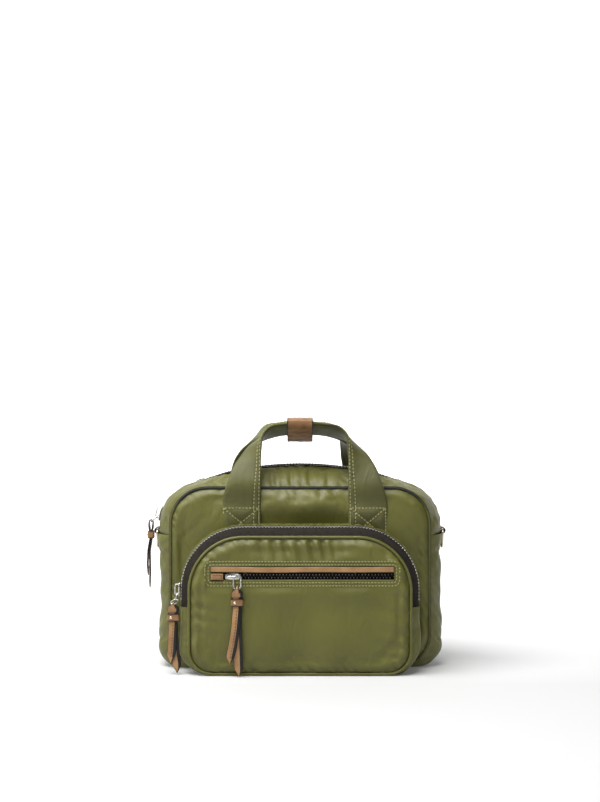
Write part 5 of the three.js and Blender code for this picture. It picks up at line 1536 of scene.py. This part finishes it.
def pull_line(hang, side, out, neck, drops, fans):
    """A folded pull's middle line and widths, from the front tail's tip over the link to the back tail's."""
    turn, tight = 1.1 + PULL_THICKNESS / 2, PULL_THICKNESS / 2 + 0.15
    low, wide, loop = BAND_DROP + BAND_HEIGHT, PULL_WIDTH, PULL_LOOP_WIDTH

    def tail(way, drop, fan):
        middle = (drop + low) / 2
        return [(way * tight, drop, 0.5, fan), (way * tight, drop - 0.5 * wide, 0.62 * wide, fan * 0.93),
                (way * tight, drop - 0.95 * wide, wide, fan * 0.87),
                (way * (tight + 0.3), middle + 6, wide, fan * 0.52),
                (way * tight, middle - 8, wide, fan * 0.2), (way * tight, low, wide, 0),
                (way * tight, BAND_DROP, wide, 0),
                (way * turn * 0.8, BAND_DROP * 0.75, loop, 0), (way * turn, BAND_DROP * 0.3, loop * 0.9, 0)]

    bend = [(turn * math.cos(a), -turn * math.sin(a), neck, 0) for a in np.linspace(0, math.pi, 7)]
    rows = tail(1, drops[0], fans[0] * drops[0]) + bend + tail(-1, drops[1], fans[1] * drops[1])[::-1]
    line = np.array([np.append(hang + out * depth + side * drift - np.array([0, 0, drop]), width)
                     for depth, drop, width, drift in rows])
    return finer(np.repeat(line[:, None], 2, 1), 6)[:, 0]


def build_pull(prefix, body, hang, side, out, radius, drops, fans, seed):
    neck = 2 * (radius - LINK_WIRE - 1.2)
    line = pull_line(hang, side, out, neck, drops, fans)
    centre, half = line[:, :3], line[:, 3] / 2
    step = np.gradient(centre, axis=0)
    step -= (step @ side)[:, None] * side
    normal = unit(np.cross(side, step))
    if normal[3] @ out < 0:
        normal = -normal
    below = np.clip(-(centre[:, 2] - hang[2]) - BAND_DROP - BAND_HEIGHT, 0, None)
    limp = ripple(centre, 30, seed) * np.clip(below / 20, 0, 1)
    centre = centre + out * (0.25 * limp + PULL_DRIFT * np.clip(below / 12, 0, 1))[:, None]
    piece = ribbon(f"{prefix}_leather", centre, side, normal, half)
    ride(piece, body, "leather", f"{prefix}_strap")
    count = len(centre)
    for label, rows in (("front", slice(8, int(count * 0.42))), ("back", slice(int(count * 0.6), count - 8))):
        path = centre[rows] + normal[rows] * (PULL_THICKNESS / 2)
        here = -(path[:, 2] - hang[2]) > BAND_DROP + BAND_HEIGHT + 1.5
        up = normal[rows][here]
        ride(stitches(f"{prefix}_stitches_{label}", path[here], up, **PULL_STITCH), body, "leather")
    a, b = PULL_WIDTH / 2 + 1.4, PULL_BAND_DEPTH
    corners = [(-a, -b), (a, -b), (a, b), (-a, b)]
    flat = resample(round_corners(corners, 1.3), 0.4)
    drop = np.array([0, 0, BAND_DROP + BAND_HEIGHT / 2])
    loop = hang - drop + flat[:, :1] * side + flat[:, 1:] * out
    leather_loop(f"{prefix}_band_loop", loop, (0, 0, 1), BAND_HEIGHT / 2, 1.05, body, f"{prefix}_band")
    place = hang - drop - side * (PULL_WIDTH / 4) + out * (b + 0.05)

    def dome(u, v, h):
        return place + np.outer(u, side) + np.outer(v, [0, 0, 1]) + out * h

    levels = [(0, 1.0), (0.25, 0.97), (0.45, 0.85), (0.6, 0.6), (0.66, 0.3)]
    rivet = slab(f"{prefix}_rivet_dome", circle(20, RIVET_RADIUS), levels, dome, GOLD)
    ride(rivet, body, "ring_metal", f"{prefix}_rivet")


def build_hardware():
    main_at, pocket_at = ridge_at(RIDGE, 0), ridge_at(POCKET_RIDGE, POCKET_RIDGE_Y)
    for zip_name, at, s, half in (("main", main_at, MAIN_SLIDER_S, SLIDER_HALF),
                                  ("pocket", pocket_at, POCKET_SLIDER_S, SLIDER_HALF),
                                  ("welt", welt_at, WELT_SLIDER_S, WELT_SLIDER_HALF)):
        build_slider(f"{zip_name}_slider_body", at, s, half, f"{zip_name}_zip_slider", f"{zip_name}_slider")
    top = point_at(welt_at, WELT_SLIDER_S + POST_REACH, POST_GAP, LINK_REST)
    hang = np.array([top[0], POCKET_FACE_Y - 0.3 - PULL_BAND_DEPTH, top[2] - WELT_LINK_LENGTH])
    build_link("welt_link", [(top, hang, ACROSS_X)], LINK_RADIUS, "welt_zip_link", "welt_pull_link")
    build_pull("welt_pull", "welt_zip_pull", hang, ACROSS_X, FORWARD, LINK_RADIUS,
               drops=(63, 73.5), fans=(-0.1, 0.02), seed=311)
    top = point_at(pocket_at, POCKET_SLIDER_S - POST_REACH + POST_GAP, 0, LINK_REST)
    hang = np.array([-POCKET_HALF - PULL_LOOP_WIDTH / 2 - 1.1, POCKET_RIDGE_Y - POCKET_HANG_FORWARD,
                     top[2] - POCKET_HANG_BELOW])
    middle = top + np.array([-1.4, -1, -2.2 * EYE_RADIUS])
    build_link("pocket_link", [(top, middle, ACROSS_Y), (middle, hang, ACROSS_X)], EYE_RADIUS,
               "pocket_zip_link", "pocket_pull_link")
    build_pull("pocket_pull", "pocket_zip_pull", hang, ACROSS_X, FORWARD, EYE_RADIUS,
               drops=(50, 58.5), fans=(-0.04, 0.06), seed=331)
    top = point_at(main_at, MAIN_SLIDER_S - POST_REACH + POST_GAP, 0, LINK_REST)
    hang = np.array([-RING_X - TAB_RADIUS - 0.3 - PULL_BAND_DEPTH, 0, top[2] - MAIN_HANG_BELOW])
    build_link("main_link", [(top, hang, ACROSS_Y)], LINK_RADIUS, "main_zip_link", "main_pull_link")
    build_pull("main_pull", "main_zip_pull", hang, ACROSS_Y, LEFTWARD, LINK_RADIUS,
               drops=(48, 59), fans=(0, 0.03), seed=351)


def dress_carried_nodes():
    """Gives procedural cloth to the CAD nodes that are shown as they are."""
    for node, material in (("lining", LINING), ("base_board", BOARD)):
        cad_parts[node].data.materials.clear()
        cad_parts[node].data.materials.append(material)


build_panels()
build_lower_gusset()
build_top_gusset()
build_piping()
build_main_zip()
build_pocket_face()
build_pocket_piping()
build_pocket_sides()
build_pocket_zip()
build_welt()
build_handles()
build_keeper()
build_rings()
build_hardware()
dress_carried_nodes()


# Stage, lights and camera

CAMERA_DISTANCE = 1.25
CAMERA_HEIGHT = 0.234
LENS = 62.6
SENSOR_WIDTH = 36
WORLD_LIGHT = 0.17
LIGHT_AIM = (0, 0, 0.1)
FLOOR_REACH = 3
WALL_Y = 2.2
LAMPS = {"Top": ((-0.35, -0.42, 1.25), (1.3, 0.7), 32), "Left front": ((-1.25, -0.7, 0.7), (0.8, 0.8), 8),
         "Right front": ((1.2, -1.2, 0.6), (0.8, 0.8), 1.5)}


def white_material(name, base, near_glow, far_glow):
    """White card: a soft diffuse surface that glows more and more behind the bag, with a faint mottle."""
    shader = Shader(name)
    place = shader.place()
    tone = shader.stretch(shader.noise(place, 3, 2), 0, 1, 0.98, 1.0)
    colour = shader.mix(tone, (0.9 * base, 0.9 * base, 0.9 * base, 1), (base, base, base, 1))
    depth = shader.add("ShaderNodeSeparateXYZ", {0: place}).outputs["Y"]
    glow = shader.stretch(depth, -0.1, 0.8, near_glow, far_glow)
    return shader.finish(
        Base_Color=colour, Roughness=0.9, Specular_IOR_Level=0.0, Emission_Color=(1, 1, 1, 1),
        Emission_Strength=glow)


def stage_plane(name, corners, material):
    mesh = bpy.data.meshes.new(name)
    mesh.from_pydata(corners, [], [(0, 1, 2, 3)])
    plane = bpy.data.objects.new(name, mesh)
    mesh.materials.append(material)
    bpy.context.collection.objects.link(plane)


def area_light(name, place, size, power):
    light = bpy.data.lights.new(name, "AREA")
    light.shape = "RECTANGLE"
    light.size, light.size_y = size
    light.energy = power
    lamp = bpy.data.objects.new(name, light)
    lamp.location = place
    way = np.array(LIGHT_AIM) - np.array(place)
    yaw = math.atan2(way[1], way[0]) - QUARTER
    pitch = math.atan2(way[2], math.hypot(way[0], way[1])) + QUARTER
    lamp.rotation_euler = (pitch, 0, yaw)
    bpy.context.collection.objects.link(lamp)


def build_stage():
    floor = white_material("Floor card", 0.55, 0.0, 1.0)
    wall = white_material("Wall card", 0.9, 1.0, 1.0)
    r = FLOOR_REACH
    stage_plane("Floor", [(-r, -r, 0), (r, -r, 0), (r, WALL_Y, 0), (-r, WALL_Y, 0)], floor)
    stage_plane("Wall", [(-r, WALL_Y, 0), (r, WALL_Y, 0), (r, WALL_Y, r), (-r, WALL_Y, r)], wall)
    world = bpy.data.worlds.new("Studio")
    bpy.context.scene.world = world
    world.use_nodes = True
    background = world.node_tree.nodes["Background"].inputs
    background["Color"].default_value = (1, 1, 1, 1)
    background["Strength"].default_value = WORLD_LIGHT
    for name, (place, size, power) in LAMPS.items():
        area_light(name, place, size, power)
    bpy.context.scene.view_settings.view_transform = "Standard"
    camera = bpy.data.cameras.new("Camera")
    camera.lens = LENS
    camera.sensor_width = SENSOR_WIDTH
    seat = bpy.data.objects.new("Camera", camera)
    seat.location = (0, -CAMERA_DISTANCE, CAMERA_HEIGHT)
    seat.rotation_euler = (QUARTER, 0, 0)
    bpy.context.collection.objects.link(seat)
    bpy.context.scene.camera = seat


build_stage()
